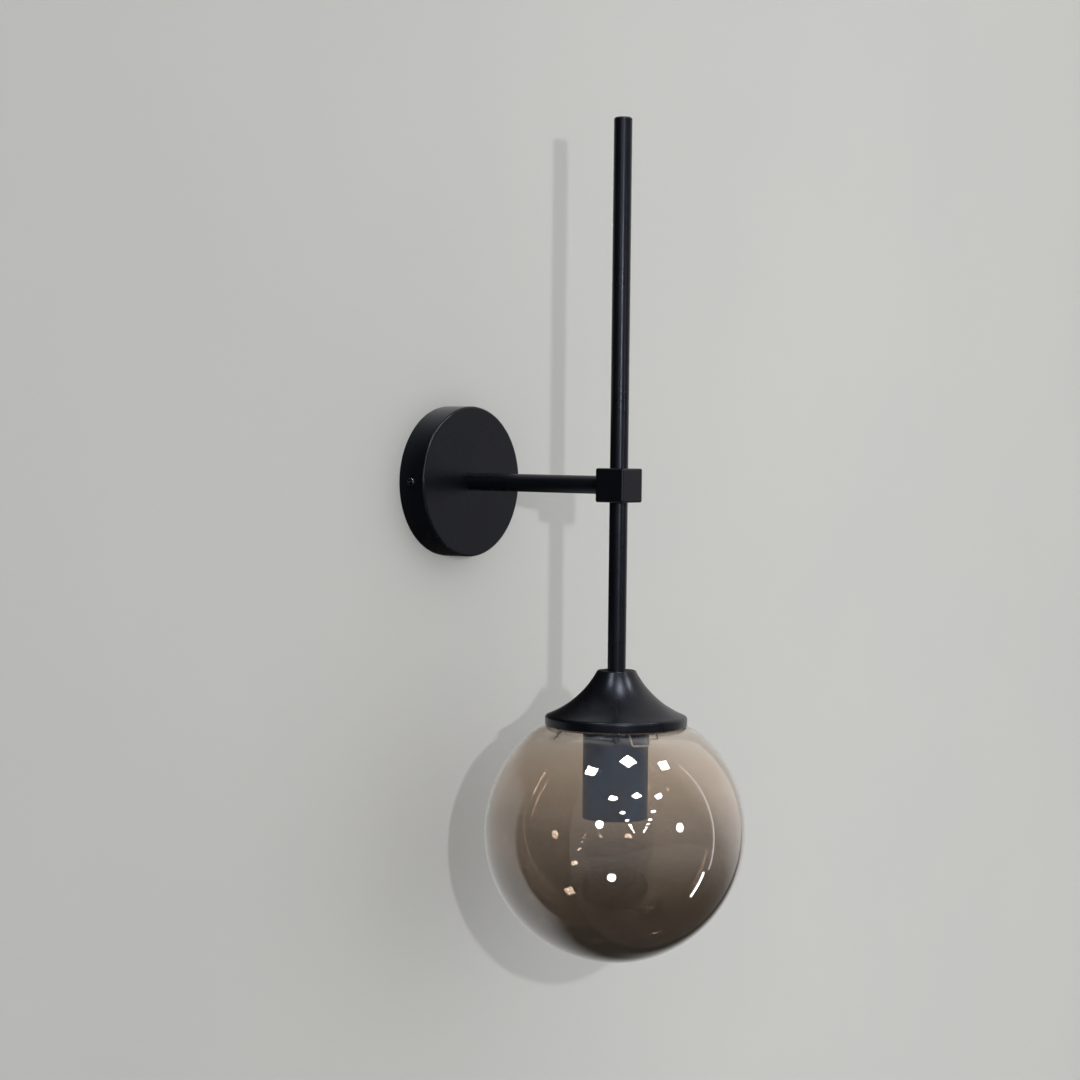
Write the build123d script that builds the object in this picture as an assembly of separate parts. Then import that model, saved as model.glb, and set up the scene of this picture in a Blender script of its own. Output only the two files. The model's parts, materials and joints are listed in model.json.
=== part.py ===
"""Globe wall sconce: a round wall canopy, a straight arm, a cube that carries an upper and a lower
rod, and a bell cap that holds a lampholder and a smoked glass globe on three spring clips.

Frame: millimetres, +Z up. The origin is the canopy's centre on the wall. The wall is the plane y = 0
and the light stands out from it along -Y. The rods, cap and globe share one vertical axis.
"""

import os
from math import acos, atan2, degrees, sqrt

from build123d import *

# ---- driving dimensions, mm ----

# canopy and wall bracket
CANOPY_DIAMETER = 120.0
CANOPY_DEPTH = 25.0
CANOPY_WALL = 1.2
CANOPY_EDGE_RADIUS = 1.8
SIDE_SCREW_DISTANCE = 13.0  # from the wall to the side screws
BRACKET_THICKNESS = 1.5
BRACKET_WIDTH = 20.0
BRACKET_BEND_RADIUS = 1.5
BRACKET_CORNER_RADIUS = 4.0
EAR_GAP = 0.4  # between the bracket's ears and the canopy
EAR_HEIGHT = 19.0
WALL_SLOT_SPACING = 70.0
WALL_SLOT_LENGTH = 14.0
WALL_SLOT_WIDTH = 5.0
CABLE_HOLE_DIAMETER = 16.0
BLOCK_TAB_WIDTH = 24.0
EARTH_SCREW_OFFSET = 19.0

# tubes, cube and threads
TUBE_DIAMETER = 14.0
TUBE_BORE = 9.0
THREAD_DIAMETER = 10.0
NIPPLE_BORE = 7.0
TAPPED_DEPTH = 12.0
NIPPLE_GRIP = 10.0
ARM_REACH = 170.0  # from the wall to the vertical axis
CUBE_SIZE = 26.0
CUBE_EDGE_RADIUS = 1.5
CUBE_TAPPED_DEPTH = 8.0
CUBE_WIRE_BORE = 8.5
UPPER_ROD_TOP = 279.5
ROD_PLUG_HEAD = 3.0
ROD_PLUG_STEM = 9.0
ROD_PLUG_EDGE_RADIUS = 2.0
NUT_ACROSS_FLATS = 14.0
NUT_THICKNESS = 3.0
NUT_CORNER_CUT = 0.5
WASHER_DIAMETER = 18.0
WASHER_THICKNESS = 1.0
WASHER_TEETH = 12
WASHER_NOTCH_WIDTH = 1.6
WASHER_NOTCH_DEPTH = 1.2
THREAD_CLEARANCE = 0.2
NIPPLE_PAST_NUT = 1.0

# bell cap
CAP_COVER = 10.5  # from the mouth's edge out to the cap's rim
CAP_TOP_DIAMETER = 29.2
CAP_SKIRT_HEIGHT = 7.4
CAP_TRUMPET_HEIGHT = 35.1
CAP_TRUMPET_RADIUS = 73.4
CAP_WALL = 1.5
CAP_TOP_EDGE_RADIUS = 1.2
CAP_CREASE_RADIUS = 2.5  # outside, between the trumpet and the skirt
CAP_RIM_EDGE_RADIUS = 1.2
CAP_RIM_HEIGHT = -184.0  # the skirt's lower edge

# glass globe, its gasket and its clips
GLOBE_DIAMETER = 200.0
GLASS_WALL = 2.0
GLASS_TO_CAP = 0.32  # from the glass up to the cap's rim
SHOULDER_RADIUS = 33.0
MOUTH_DIAMETER = 88.0
CROWN_PAST_MOUTH = 1.7  # from the mouth's edge out to the shoulder's highest circle
MOUTH_EDGE_RADIUS = 0.6
GASKET_THICKNESS = 2.0
GASKET_WIDTH = 6.0
GASKET_INSET = 1.5  # from the mouth's edge to the gasket
CARRIER_THICKNESS = 1.5
CARRIER_GAP = 0.5  # between the carrier and the cap's skirt
CLIP_WIRE_DIAMETER = 1.5
CLIP_HINGE_CLEARANCE = 0.05
CLIP_HINGE_INSET = 7.5  # from the mouth's edge in to the clips' hinges
CLIP_HINGE_DROP = 2.7  # from the carrier to the hinges
CLIP_ELBOW_OUT = 5.0
CLIP_FOOT_OUT = 10.1
CLIP_FOOT_DROP = 10.3
CLIP_FOOT_WIDTH = 13.4
CLIP_TOP_WIDTH = 16.0
CLIP_END_LENGTH = 4.0
CLIP_BEND_RADIUS = 1.6
LUG_THICKNESS = 1.5
LUG_LENGTH = 4.0
LUG_MARGIN = 2.0  # below the hinge
CLIP_ANGLES = {"front": -120.0, "right": 0.0, "rear": 120.0}

# lampholder, E27
SLEEVE_DIAMETER = 50.0
SLEEVE_WALL = 1.2
SLEEVE_BOTTOM = -255.0
HOLDER_DIAMETER = 40.0
HOLDER_SETBACK = 2.0  # from the sleeve's mouth up to the holder's mouth
DOME_HEIGHT = 22.3
DOME_TOP = 3.0
DOME_WALL = 4.0
DOME_BOSS_DIAMETER = 16.0
DOME_BOSS_DEPTH = 8.0
HOLDER_WALL = 2.5
HOLDER_MOUTH_RADIUS = 1.0
CORE_HEIGHT = 15.0
CORE_GAP = 0.2
SHELL_THREAD_MINOR = 24.7
SHELL_THREAD_MAJOR = 26.6
SHELL_DIAMETER = 27.6
SHELL_HEIGHT = 27.0
SHELL_TOP_THICKNESS = 0.6
SHELL_TOP_HOLE = 12.0
SHELL_THREAD_PITCH = 3.63
SHELL_THREAD_TURNS = 6
SHELL_TAB_WIDTH = 4.0
SHELL_TAB_THICKNESS = 0.6
SHELL_TAB_OFFSET = 11.0
CONTACT_HEAD_DIAMETER = 6.4
CONTACT_HEAD_HEIGHT = 3.0
CONTACT_POCKET_DIAMETER = 7.2
CONTACT_POCKET_DEPTH = 8.0
CONTACT_PROUD = 2.0  # below the core's underside
CONTACT_STEM_DIAMETER = 2.4
CONTACT_STEM_CLEARANCE = 0.05
CONTACT_FLANGE_DIAMETER = 4.8
CONTACT_FLANGE_HEIGHT = 0.8
SPRING_WIRE_DIAMETER = 0.6
SPRING_COIL_DIAMETER = 4.6
SPRING_TURNS = 4
SPRING_END_GAP = 0.1
TERMINAL_LENGTH = 6.5
TERMINAL_WIDTH = 6.0
TERMINAL_HEIGHT = 6.5
TERMINAL_OFFSET = 9.25  # from the axis to the middle of a terminal
TERMINAL_HOLE_FLOOR = 1.0  # under the lead's hole
TERMINAL_LEAD_WALL = 1.5  # from a terminal's inner face to its lead
TERMINAL_STRAP_THICKNESS = 0.6
TERMINAL_STRAP_MARGIN = 0.5  # beyond the plunger's stop
TERMINAL_SCREW_DIAMETER = 3.0
TERMINAL_SCREW_HEAD = 4.8
TERMINAL_SCREW_HEAD_HEIGHT = 1.8

# terminal block in the canopy
BLOCK_PITCH = 10.0
BLOCK_END = 7.0  # from the outer barrels to the block's ends
BLOCK_DEPTH = 13.0
BLOCK_HEIGHT = 20.0
BLOCK_BOTTOM = 16.0
BLOCK_EDGE_RADIUS = 1.0
BARREL_DIAMETER = 5.6
BARREL_BORE = 3.2
BARREL_DISTANCE = 7.0  # from the wall to the barrels' axes
BARREL_RECESS = 1.0  # from the block's ends to the barrels' ends
CLAMP_SCREW_DIAMETER = 2.5
CLAMP_SCREW_HEAD = 3.4
CLAMP_SCREW_HEAD_HEIGHT = 1.6
CLAMP_SCREW_SINK = 1.2  # from the block's front to the clamp screws' heads
CLAMP_SCREW_SPACING = 10.0
BLOCK_SCREW_DIAMETER = 3.0
BLOCK_SCREW_HEAD = 5.4
BLOCK_SCREW_HEAD_HEIGHT = 2.0

# screws
SIDE_SCREW_DIAMETER = 4.0
SIDE_SCREW_LENGTH = 8.0
SIDE_SCREW_HEAD = 6.6
SIDE_SCREW_HEAD_HEIGHT = 2.4
EARTH_SCREW_LENGTH = 1.4
SCREW_CLEARANCE = 0.2
SCREW_SLOT_WIDTH = 0.7
SCREW_SLOT_SHARE = 0.6  # slot length over head diameter
SCREW_ROUND_SHARE = 0.45  # head rounding over head height

# leads
LEAD_DIAMETER = 2.0
LEAD_SPACING = 2.6  # between the two leads inside the tubes
LEAD_TO_SCREW = 0.05
LEAD_BEND = 5.0
LEAD_CUBE_BEND = 10.0
LEAD_BLOCK_BEND = 8.0
LEAD_CANOPY_BEND = 6.0
LEAD_STRAIGHT = 5.0  # straight run below the terminal block
LEAD_PAST_MIDDLE = 2.0  # from the block's middle down to a lead's end
LEAD_END_GAP = 2.0  # from the core's top to a lead's end
LEAD_RISE = 1.5  # from a lampholder terminal up to the lead's bend
LEAD_FREE = 2.0  # from the nipple's end down to the lead's bend
EARTH_LOOP_OUT = 7.0  # from the crimp barrel to the earth lead's loop
EARTH_LOOP_HEIGHT = 4.0
BUSH_FLANGE_DIAMETER = 9.6
BUSH_FLANGE_THICKNESS = 1.0
BUSH_LENGTH = 6.0
BUSH_BORE = 5.2
TAG_THICKNESS = 0.8
TAG_RING_WIDTH = 3.2
TAG_BARREL_DIAMETER = 3.2
TAG_BARREL_LENGTH = 6.0
TAG_BARREL_END = 1.0  # solid end of the crimp barrel
TAG_TO_NUT = 1.0

# ---- places worked out from them ----

CANOPY_INSIDE = CANOPY_DEPTH - CANOPY_WALL
CUBE_HALF = CUBE_SIZE / 2
AXIS_Y = -ARM_REACH
GLOBE_RADIUS = GLOBE_DIAMETER / 2
MOUTH_RADIUS = MOUTH_DIAMETER / 2
CAP_RIM_DIAMETER = MOUTH_DIAMETER + 2 * CAP_COVER
CAP_CREASE_HEIGHT = CAP_RIM_HEIGHT + CAP_SKIRT_HEIGHT
CAP_TOP_HEIGHT = CAP_CREASE_HEIGHT + CAP_TRUMPET_HEIGHT
CLIP_HINGE_RADIUS = MOUTH_RADIUS - CLIP_HINGE_INSET
SHOULDER_CENTRE_R = MOUTH_RADIUS + CROWN_PAST_MOUTH
SHOULDER_CENTRE_Z = sqrt((GLOBE_RADIUS - SHOULDER_RADIUS) ** 2 - SHOULDER_CENTRE_R**2)


def shoulder_height(radius, inset):
    """Height above the globe's centre of the shoulder's surface, inset inwards from the outside."""
    across = radius - SHOULDER_CENTRE_R
    return SHOULDER_CENTRE_Z + sqrt((SHOULDER_RADIUS - inset) ** 2 - across**2)


GASKET_INNER_RADIUS = MOUTH_RADIUS + GASKET_INSET
GASKET_OUTER_RADIUS = GASKET_INNER_RADIUS + GASKET_WIDTH
CAP_INNER_RIM_RADIUS = CAP_RIM_DIAMETER / 2 - CAP_WALL
GLASS_AT_CAP = CAP_RIM_HEIGHT - GLASS_TO_CAP
GLOBE_CENTRE_HEIGHT = GLASS_AT_CAP - shoulder_height(CAP_INNER_RIM_RADIUS, 0)
CROWN_HEIGHT = GLOBE_CENTRE_HEIGHT + SHOULDER_CENTRE_Z + SHOULDER_RADIUS
CARRIER_BOTTOM = CROWN_HEIGHT + GASKET_THICKNESS
CARRIER_TOP = CARRIER_BOTTOM + CARRIER_THICKNESS
CLIP_HINGE_HEIGHT = CARRIER_BOTTOM - CLIP_HINGE_DROP
SLEEVE_TOP = CARRIER_BOTTOM
DOME_TOP_HEIGHT = SLEEVE_TOP - SLEEVE_WALL
CORE_TOP = DOME_TOP_HEIGHT - DOME_HEIGHT
CORE_BOTTOM = CORE_TOP - CORE_HEIGHT
HOLDER_BOTTOM = SLEEVE_BOTTOM + HOLDER_SETBACK
HOLDER_RADIUS = HOLDER_DIAMETER / 2
HOLDER_NIPPLE_BOTTOM = DOME_TOP_HEIGHT - DOME_BOSS_DEPTH + THREAD_CLEARANCE
CONTACT_TIP = CORE_BOTTOM - CONTACT_PROUD
CONTACT_HEAD_TOP = CONTACT_TIP + CONTACT_HEAD_HEIGHT
POCKET_TOP = CORE_BOTTOM + CONTACT_POCKET_DEPTH
STRAP_TOP = CORE_TOP + TERMINAL_STRAP_THICKNESS
LEAD_HOLE_OFFSET = TERMINAL_OFFSET - TERMINAL_LENGTH / 2 + LEAD_DIAMETER / 2 + TERMINAL_LEAD_WALL
BARREL_Y = -BARREL_DISTANCE
BLOCK_FRONT_Y = -(BRACKET_THICKNESS + BLOCK_DEPTH)
WASHER_FRONT = CANOPY_INSIDE
TAG_FRONT = WASHER_FRONT - WASHER_THICKNESS
NUT_FRONT = TAG_FRONT - TAG_THICKNESS
ARM_NIPPLE_END = NUT_FRONT - NUT_THICKNESS - NIPPLE_PAST_NUT


# ---- shared shapes ----

def along(start, end):
    """Plane at start whose normal points to end."""
    return Plane(origin=start, z_dir=Vector(*end) - Vector(*start))


def round_bar(diameter, start, end):
    """Solid round bar from start to end."""
    length = (Vector(*end) - Vector(*start)).length
    base = (Align.CENTER, Align.CENTER, Align.MIN)
    return along(start, end) * Cylinder(diameter / 2, length, align=base)


def round_tube(outer, inner, start, end):
    """Open round tube from start to end."""
    return round_bar(outer, start, end) - round_bar(inner, start, end)


def block(low, high):
    """Box between two corners."""
    size = [b - a for a, b in zip(low, high)]
    middle = [(a + b) / 2 for a, b in zip(low, high)]
    return Pos(*middle) * Box(*size)


def turned(lines):
    """Solid of revolution about Z, from outline edges given as (radius, height)."""
    return revolve(Plane.XZ * make_face(Curve() + lines), Axis.Z)


def on_axis(shape):
    """A shape made about Z, moved to the light's vertical axis."""
    return Pos(0, AXIS_Y, 0) * shape


def off_wall(shape):
    """A shape made standing up from the XY plane, turned so that it stands out from the wall."""
    return Rot(90, 0, 0) * shape


def ring_edges(shape, radius, height):
    """Circular edges about Z with this radius at this height."""
    circles = shape.edges().filter_by(GeomType.CIRCLE)
    return circles.filter_by(
        lambda e: abs(e.radius - radius) < 1e-3 and abs(e.arc_center.Z - height) < 1e-3
    )


def nut_corner_radius():
    """From a nut's axis to its rounded corners, just inside a sharp hexagon's corners."""
    return (NUT_ACROSS_FLATS / sqrt(3)) - NUT_CORNER_CUT / 2


def hex_nut(height):
    """Thin hexagon nut about the vertical axis, its lower face at this height."""
    flats = NUT_ACROSS_FLATS / 2
    nut = extrude(RegularPolygon(flats, 6, major_radius=False), NUT_THICKNESS)
    round_nut = Cylinder(nut_corner_radius(), NUT_THICKNESS)
    round_nut = chamfer(round_nut.edges().filter_by(GeomType.CIRCLE), NUT_CORNER_CUT)
    nut = nut & Pos(0, 0, NUT_THICKNESS / 2) * round_nut
    hole = Cylinder(THREAD_DIAMETER / 2, 3 * NUT_THICKNESS)
    return Pos(0, 0, height) * (nut - hole)


def cross_screw(diameter, length, head, head_height):
    """Pan-head screw: its head stands up from z = 0, its shank goes down, with a cross recess."""
    base = (Align.CENTER, Align.CENTER, Align.MIN)
    cap = Cylinder(head / 2, head_height, align=base)
    cap = fillet(ring_edges(cap, head / 2, head_height), SCREW_ROUND_SHARE * head_height)
    cap -= Pos(0, 0, head_height) * Box(SCREW_SLOT_SHARE * head, SCREW_SLOT_WIDTH, head_height)
    cap -= Pos(0, 0, head_height) * Box(SCREW_SLOT_WIDTH, SCREW_SLOT_SHARE * head, head_height)
    return cap + Pos(0, 0, -length) * Cylinder(diameter / 2, length, align=base)


# ---- canopy and wall bracket ----

def wall_bracket():
    """Steel strap with a bent ear at each end and a tab that carries the terminal block."""
    ear_x = sqrt((CANOPY_DIAMETER / 2 - CANOPY_WALL) ** 2 - (BRACKET_WIDTH / 2) ** 2) - EAR_GAP
    inner_x = ear_x - BRACKET_THICKNESS
    low = (Align.CENTER, Align.CENTER, Align.MIN)
    outer = Box(2 * ear_x, BRACKET_WIDTH, EAR_HEIGHT, align=low)
    bends = outer.edges().filter_by(Axis.Y).group_by(Axis.Z)[0]
    outer = fillet(bends, BRACKET_BEND_RADIUS + BRACKET_THICKNESS)
    inner = Box(2 * inner_x, 2 * BRACKET_WIDTH, 2 * EAR_HEIGHT, align=low)
    inner = fillet(inner.edges().filter_by(Axis.Y).group_by(Axis.Z)[0], BRACKET_BEND_RADIUS)
    strap = outer - Pos(0, 0, BRACKET_THICKNESS) * inner
    corners = strap.edges().filter_by(Axis.X).group_by(Axis.Z)[-1]
    strap = fillet(corners, BRACKET_CORNER_RADIUS)
    half_width = BRACKET_WIDTH / 2
    tab_top = BLOCK_BOTTOM + BLOCK_HEIGHT
    half_tab = BLOCK_TAB_WIDTH / 2
    strap += block((-half_tab, half_width - 1, 0), (half_tab, tab_top, BRACKET_THICKNESS))
    through = 4 * BRACKET_THICKNESS
    for side in (-1, 1):
        slot = extrude(SlotOverall(WALL_SLOT_LENGTH, WALL_SLOT_WIDTH), through, both=True)
        strap -= Pos(side * WALL_SLOT_SPACING / 2, 0, 0) * slot
    strap -= Cylinder(CABLE_HOLE_DIAMETER / 2, through)
    strap -= Pos(EARTH_SCREW_OFFSET, 0, 0) * Cylinder(SIDE_SCREW_DIAMETER / 2, through)
    strap -= Pos(BLOCK_PITCH / 2, block_middle(), 0) * Cylinder(BLOCK_SCREW_DIAMETER / 2, through)
    ear_start, ear_end = (-2 * ear_x, 0, SIDE_SCREW_DISTANCE), (2 * ear_x, 0, SIDE_SCREW_DISTANCE)
    strap -= round_bar(SIDE_SCREW_DIAMETER, ear_start, ear_end)
    return off_wall(strap)


def block_middle():
    """Height of the terminal block's middle, and of its fixing screw."""
    return BLOCK_BOTTOM + BLOCK_HEIGHT / 2


def canopy():
    """Spun dish with an open back, a hole for the arm nipple and two holes in its rim."""
    low = (Align.CENTER, Align.CENTER, Align.MIN)
    radius = CANOPY_DIAMETER / 2
    dish = Cylinder(radius, CANOPY_DEPTH, align=low)
    dish = fillet(ring_edges(dish, radius, CANOPY_DEPTH), CANOPY_EDGE_RADIUS)
    hollow = Cylinder(radius - CANOPY_WALL, CANOPY_INSIDE, align=low)
    inner_edge = max(CANOPY_EDGE_RADIUS - CANOPY_WALL, 0.2)
    hollow = fillet(ring_edges(hollow, radius - CANOPY_WALL, CANOPY_INSIDE), inner_edge)
    dish -= hollow
    dish -= Cylinder(THREAD_DIAMETER / 2 + THREAD_CLEARANCE, 3 * CANOPY_DEPTH)
    hole = SIDE_SCREW_DIAMETER + 2 * SCREW_CLEARANCE
    dish -= round_bar(hole, (-2 * radius, 0, SIDE_SCREW_DISTANCE), (2 * radius, 0, SIDE_SCREW_DISTANCE))
    return off_wall(dish)


def canopy_side_screws():
    """Two pan-head screws that enter the rim from the left and the right."""
    screw = cross_screw(
        SIDE_SCREW_DIAMETER, SIDE_SCREW_LENGTH, SIDE_SCREW_HEAD, SIDE_SCREW_HEAD_HEIGHT
    )
    place = Pos(0, -SIDE_SCREW_DISTANCE, 0)
    right = place * Pos(CANOPY_DIAMETER / 2, 0, 0) * Rot(0, 90, 0) * screw
    left = place * Pos(-CANOPY_DIAMETER / 2, 0, 0) * Rot(0, -90, 0) * screw
    return [left, right]


def earth_screw():
    """Screw in the bracket for the earth conductor of the building."""
    screw = cross_screw(
        SIDE_SCREW_DIAMETER, EARTH_SCREW_LENGTH, SIDE_SCREW_HEAD, SIDE_SCREW_HEAD_HEIGHT
    )
    return off_wall(Pos(EARTH_SCREW_OFFSET, 0, BRACKET_THICKNESS) * screw)


# ---- terminal block ----

def way_places():
    """Sideways places of the block's three ways: earth, neutral and live."""
    return [-BLOCK_PITCH, 0.0, BLOCK_PITCH]


def clamp_heights():
    """Heights of the two rows of clamp screws."""
    return [block_middle() + side * CLAMP_SCREW_SPACING / 2 for side in (-1, 1)]


def terminal_block():
    """Moulded body with three barrel channels, six screw wells and a fixing hole."""
    half = BLOCK_PITCH + BLOCK_END
    top = BLOCK_BOTTOM + BLOCK_HEIGHT
    body = block((-half, BLOCK_FRONT_Y, BLOCK_BOTTOM), (half, -BRACKET_THICKNESS, top))
    body = fillet(body.edges().filter_by(Axis.Z), BLOCK_EDGE_RADIUS)
    for x in way_places():
        body -= round_bar(BARREL_DIAMETER, (x, BARREL_Y, BLOCK_BOTTOM - 1), (x, BARREL_Y, top + 1))
        for z in clamp_heights():
            well = CLAMP_SCREW_HEAD + 2 * SCREW_CLEARANCE
            body -= round_bar(well, (x, BLOCK_FRONT_Y - 1, z), (x, BARREL_Y, z))
    hole = BLOCK_SCREW_DIAMETER + 2 * SCREW_CLEARANCE
    x, z = BLOCK_PITCH / 2, block_middle()
    return body - round_bar(hole, (x, BLOCK_FRONT_Y - 1, z), (x, 0, z))


def terminal_barrels():
    """Three brass barrels, each tapped twice from the front."""
    low, high = BLOCK_BOTTOM + BARREL_RECESS, BLOCK_BOTTOM + BLOCK_HEIGHT - BARREL_RECESS
    barrels = []
    for x in way_places():
        barrel = round_tube(BARREL_DIAMETER, BARREL_BORE, (x, BARREL_Y, low), (x, BARREL_Y, high))
        for z in clamp_heights():
            barrel -= round_bar(CLAMP_SCREW_DIAMETER, (x, BLOCK_FRONT_Y, z), (x, BARREL_Y, z))
        barrels.append(barrel)
    return barrels


def clamp_screws():
    """Six small screws that press the conductors in the barrels."""
    head_y = BLOCK_FRONT_Y + CLAMP_SCREW_SINK + CLAMP_SCREW_HEAD_HEIGHT
    tip_y = BARREL_Y - LEAD_DIAMETER / 2 - LEAD_TO_SCREW
    screw = cross_screw(
        CLAMP_SCREW_DIAMETER, tip_y - head_y, CLAMP_SCREW_HEAD, CLAMP_SCREW_HEAD_HEIGHT
    )
    return [Pos(x, head_y, z) * Rot(90, 0, 0) * screw for x in way_places() for z in clamp_heights()]


def block_screw():
    """Screw that fixes the block to the bracket's tab."""
    screw = cross_screw(
        BLOCK_SCREW_DIAMETER, -BLOCK_FRONT_Y - SCREW_CLEARANCE, BLOCK_SCREW_HEAD, BLOCK_SCREW_HEAD_HEIGHT
    )
    return Pos(BLOCK_PITCH / 2, BLOCK_FRONT_Y, block_middle()) * Rot(90, 0, 0) * screw


# ---- arm ----

def arm_nipple():
    """Hollow threaded nipple that holds the arm to the canopy."""
    start, end = (0, -ARM_NIPPLE_END, 0), (0, -(CANOPY_DEPTH + NIPPLE_GRIP), 0)
    return round_tube(THREAD_DIAMETER, NIPPLE_BORE, start, end)


def arm_washer():
    """Toothed washer between the canopy and the earth tag."""
    ring = Cylinder(WASHER_DIAMETER / 2, WASHER_THICKNESS)
    ring -= Cylinder(THREAD_DIAMETER / 2 + THREAD_CLEARANCE, 2 * WASHER_THICKNESS)
    notch = Box(2 * WASHER_NOTCH_DEPTH, WASHER_NOTCH_WIDTH, 2 * WASHER_THICKNESS)
    for i in range(WASHER_TEETH):
        ring -= Rot(0, 0, i * 360 / WASHER_TEETH) * Pos(WASHER_DIAMETER / 2, 0, 0) * notch
    return off_wall(Pos(0, 0, WASHER_FRONT - WASHER_THICKNESS / 2) * ring)


def earth_tag():
    """Ring tag round the arm nipple, with a crimp barrel that points to the left."""
    ring_radius = THREAD_DIAMETER / 2 + THREAD_CLEARANCE + TAG_RING_WIDTH
    barrel_height = TAG_FRONT - TAG_BARREL_DIAMETER / 2
    start, end = tag_barrel_ends()
    ring = Cylinder(ring_radius, TAG_THICKNESS)
    tongue = block(
        (end, -TAG_BARREL_DIAMETER / 2, -TAG_THICKNESS / 2),
        (0, TAG_BARREL_DIAMETER / 2, TAG_THICKNESS / 2),
    )
    tag = Pos(0, 0, TAG_FRONT - TAG_THICKNESS / 2) * (ring + tongue)
    tag -= Cylinder(THREAD_DIAMETER / 2 + THREAD_CLEARANCE, 4 * CANOPY_DEPTH)
    tag += round_bar(TAG_BARREL_DIAMETER, (start, 0, barrel_height), (end, 0, barrel_height))
    tag -= round_bar(
        LEAD_DIAMETER, (start - TAG_BARREL_END, 0, barrel_height), (2 * end, 0, barrel_height)
    )
    return off_wall(tag)


def tag_barrel_ends():
    """Sideways places of the crimp barrel's two ends, clear of the lock nut's corners."""
    start = -(nut_corner_radius() + TAG_TO_NUT)
    return start, start - TAG_BARREL_LENGTH


def arm_lock_nut():
    """Nut on the arm nipple inside the canopy."""
    return off_wall(hex_nut(NUT_FRONT - NUT_THICKNESS))


def nipple_bush():
    """Flanged insulating bush in the arm nipple's inner end."""
    low = ARM_NIPPLE_END - BUSH_FLANGE_THICKNESS
    bush = round_bar(BUSH_FLANGE_DIAMETER, (0, -low, 0), (0, -ARM_NIPPLE_END, 0))
    bush += round_bar(NIPPLE_BORE, (0, -ARM_NIPPLE_END, 0), (0, -(ARM_NIPPLE_END + BUSH_LENGTH), 0))
    return bush - round_bar(BUSH_BORE, (0, 0, 0), (0, -CANOPY_DEPTH - BUSH_LENGTH, 0))


def tapped_tube(start, end):
    """Tube tapped at both ends."""
    first, last = Vector(*start), Vector(*end)
    step = (last - first).normalized() * TAPPED_DEPTH
    tube = round_tube(TUBE_DIAMETER, TUBE_BORE, start, end)
    tube -= round_bar(THREAD_DIAMETER, start, tuple(first + step))
    return tube - round_bar(THREAD_DIAMETER, tuple(last - step), end)


def arm_tube():
    """Straight arm from the canopy's face to the cube."""
    return tapped_tube((0, -CANOPY_DEPTH, 0), (0, AXIS_Y + CUBE_HALF, 0))


# ---- cube and rods ----

def cube_connector():
    """Solid cube, tapped at its back, top and bottom, with a cross bore for the leads."""
    cube = Pos(0, AXIS_Y, 0) * Box(CUBE_SIZE, CUBE_SIZE, CUBE_SIZE)
    cube = fillet(cube.edges(), CUBE_EDGE_RADIUS)
    centre = (0, AXIS_Y, 0)
    inner = CUBE_HALF - CUBE_TAPPED_DEPTH
    back, back_in = (0, AXIS_Y + CUBE_HALF, 0), (0, AXIS_Y + inner, 0)
    cube -= round_bar(THREAD_DIAMETER, back, back_in)
    cube -= round_bar(THREAD_DIAMETER, (0, AXIS_Y, CUBE_HALF), (0, AXIS_Y, inner))
    cube -= round_bar(THREAD_DIAMETER, (0, AXIS_Y, -CUBE_HALF), (0, AXIS_Y, -inner))
    cube -= round_bar(CUBE_WIRE_BORE, back, centre)
    cube -= round_bar(CUBE_WIRE_BORE, (0, AXIS_Y, -CUBE_HALF), (0, AXIS_Y, CUBE_WIRE_BORE / 2))
    return cube


def arm_cube_nipple():
    """Hollow nipple between the arm and the cube."""
    end = CUBE_HALF - CUBE_TAPPED_DEPTH + THREAD_CLEARANCE
    start = CUBE_HALF + NIPPLE_GRIP
    return round_tube(THREAD_DIAMETER, NIPPLE_BORE, (0, AXIS_Y + start, 0), (0, AXIS_Y + end, 0))


def lower_cube_nipple():
    """Hollow nipple between the cube and the lower rod."""
    end = CUBE_HALF - CUBE_TAPPED_DEPTH + THREAD_CLEARANCE
    start = CUBE_HALF + NIPPLE_GRIP
    return round_tube(THREAD_DIAMETER, NIPPLE_BORE, (0, AXIS_Y, -start), (0, AXIS_Y, -end))


def upper_rod_stud():
    """Solid stud between the cube and the upper rod."""
    low = CUBE_HALF - CUBE_TAPPED_DEPTH + THREAD_CLEARANCE
    return round_bar(THREAD_DIAMETER, (0, AXIS_Y, low), (0, AXIS_Y, CUBE_HALF + NIPPLE_GRIP))


def upper_rod():
    """Decorative tube above the cube."""
    return tapped_tube((0, AXIS_Y, CUBE_HALF), (0, AXIS_Y, UPPER_ROD_TOP - ROD_PLUG_HEAD))


def rod_end_plug():
    """Pressed plug that closes the upper rod, with a rounded head."""
    neck = UPPER_ROD_TOP - ROD_PLUG_HEAD
    head = round_bar(TUBE_DIAMETER, (0, 0, neck), (0, 0, UPPER_ROD_TOP))
    head = fillet(ring_edges(head, TUBE_DIAMETER / 2, UPPER_ROD_TOP), ROD_PLUG_EDGE_RADIUS)
    return on_axis(head + round_bar(THREAD_DIAMETER, (0, 0, neck - ROD_PLUG_STEM), (0, 0, neck)))


def lower_rod():
    """Tube from the cube down to the bell cap."""
    return tapped_tube((0, AXIS_Y, -CUBE_HALF), (0, AXIS_Y, CAP_TOP_HEIGHT))


# ---- bell cap ----

def trumpet_centre():
    """Centre (radius, height) of the arc from the cap's top edge to its crease."""
    top_r, top_z = CAP_TOP_DIAMETER / 2, CAP_TOP_HEIGHT
    low_r, low_z = CAP_RIM_DIAMETER / 2, CAP_CREASE_HEIGHT
    span_r, span_z = low_r - top_r, top_z - low_z
    chord = sqrt(span_r**2 + span_z**2)
    lift = sqrt(CAP_TRUMPET_RADIUS**2 - (chord / 2) ** 2)
    return (
        (top_r + low_r) / 2 + lift * span_z / chord,
        (top_z + low_z) / 2 + lift * span_r / chord,
    )


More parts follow.
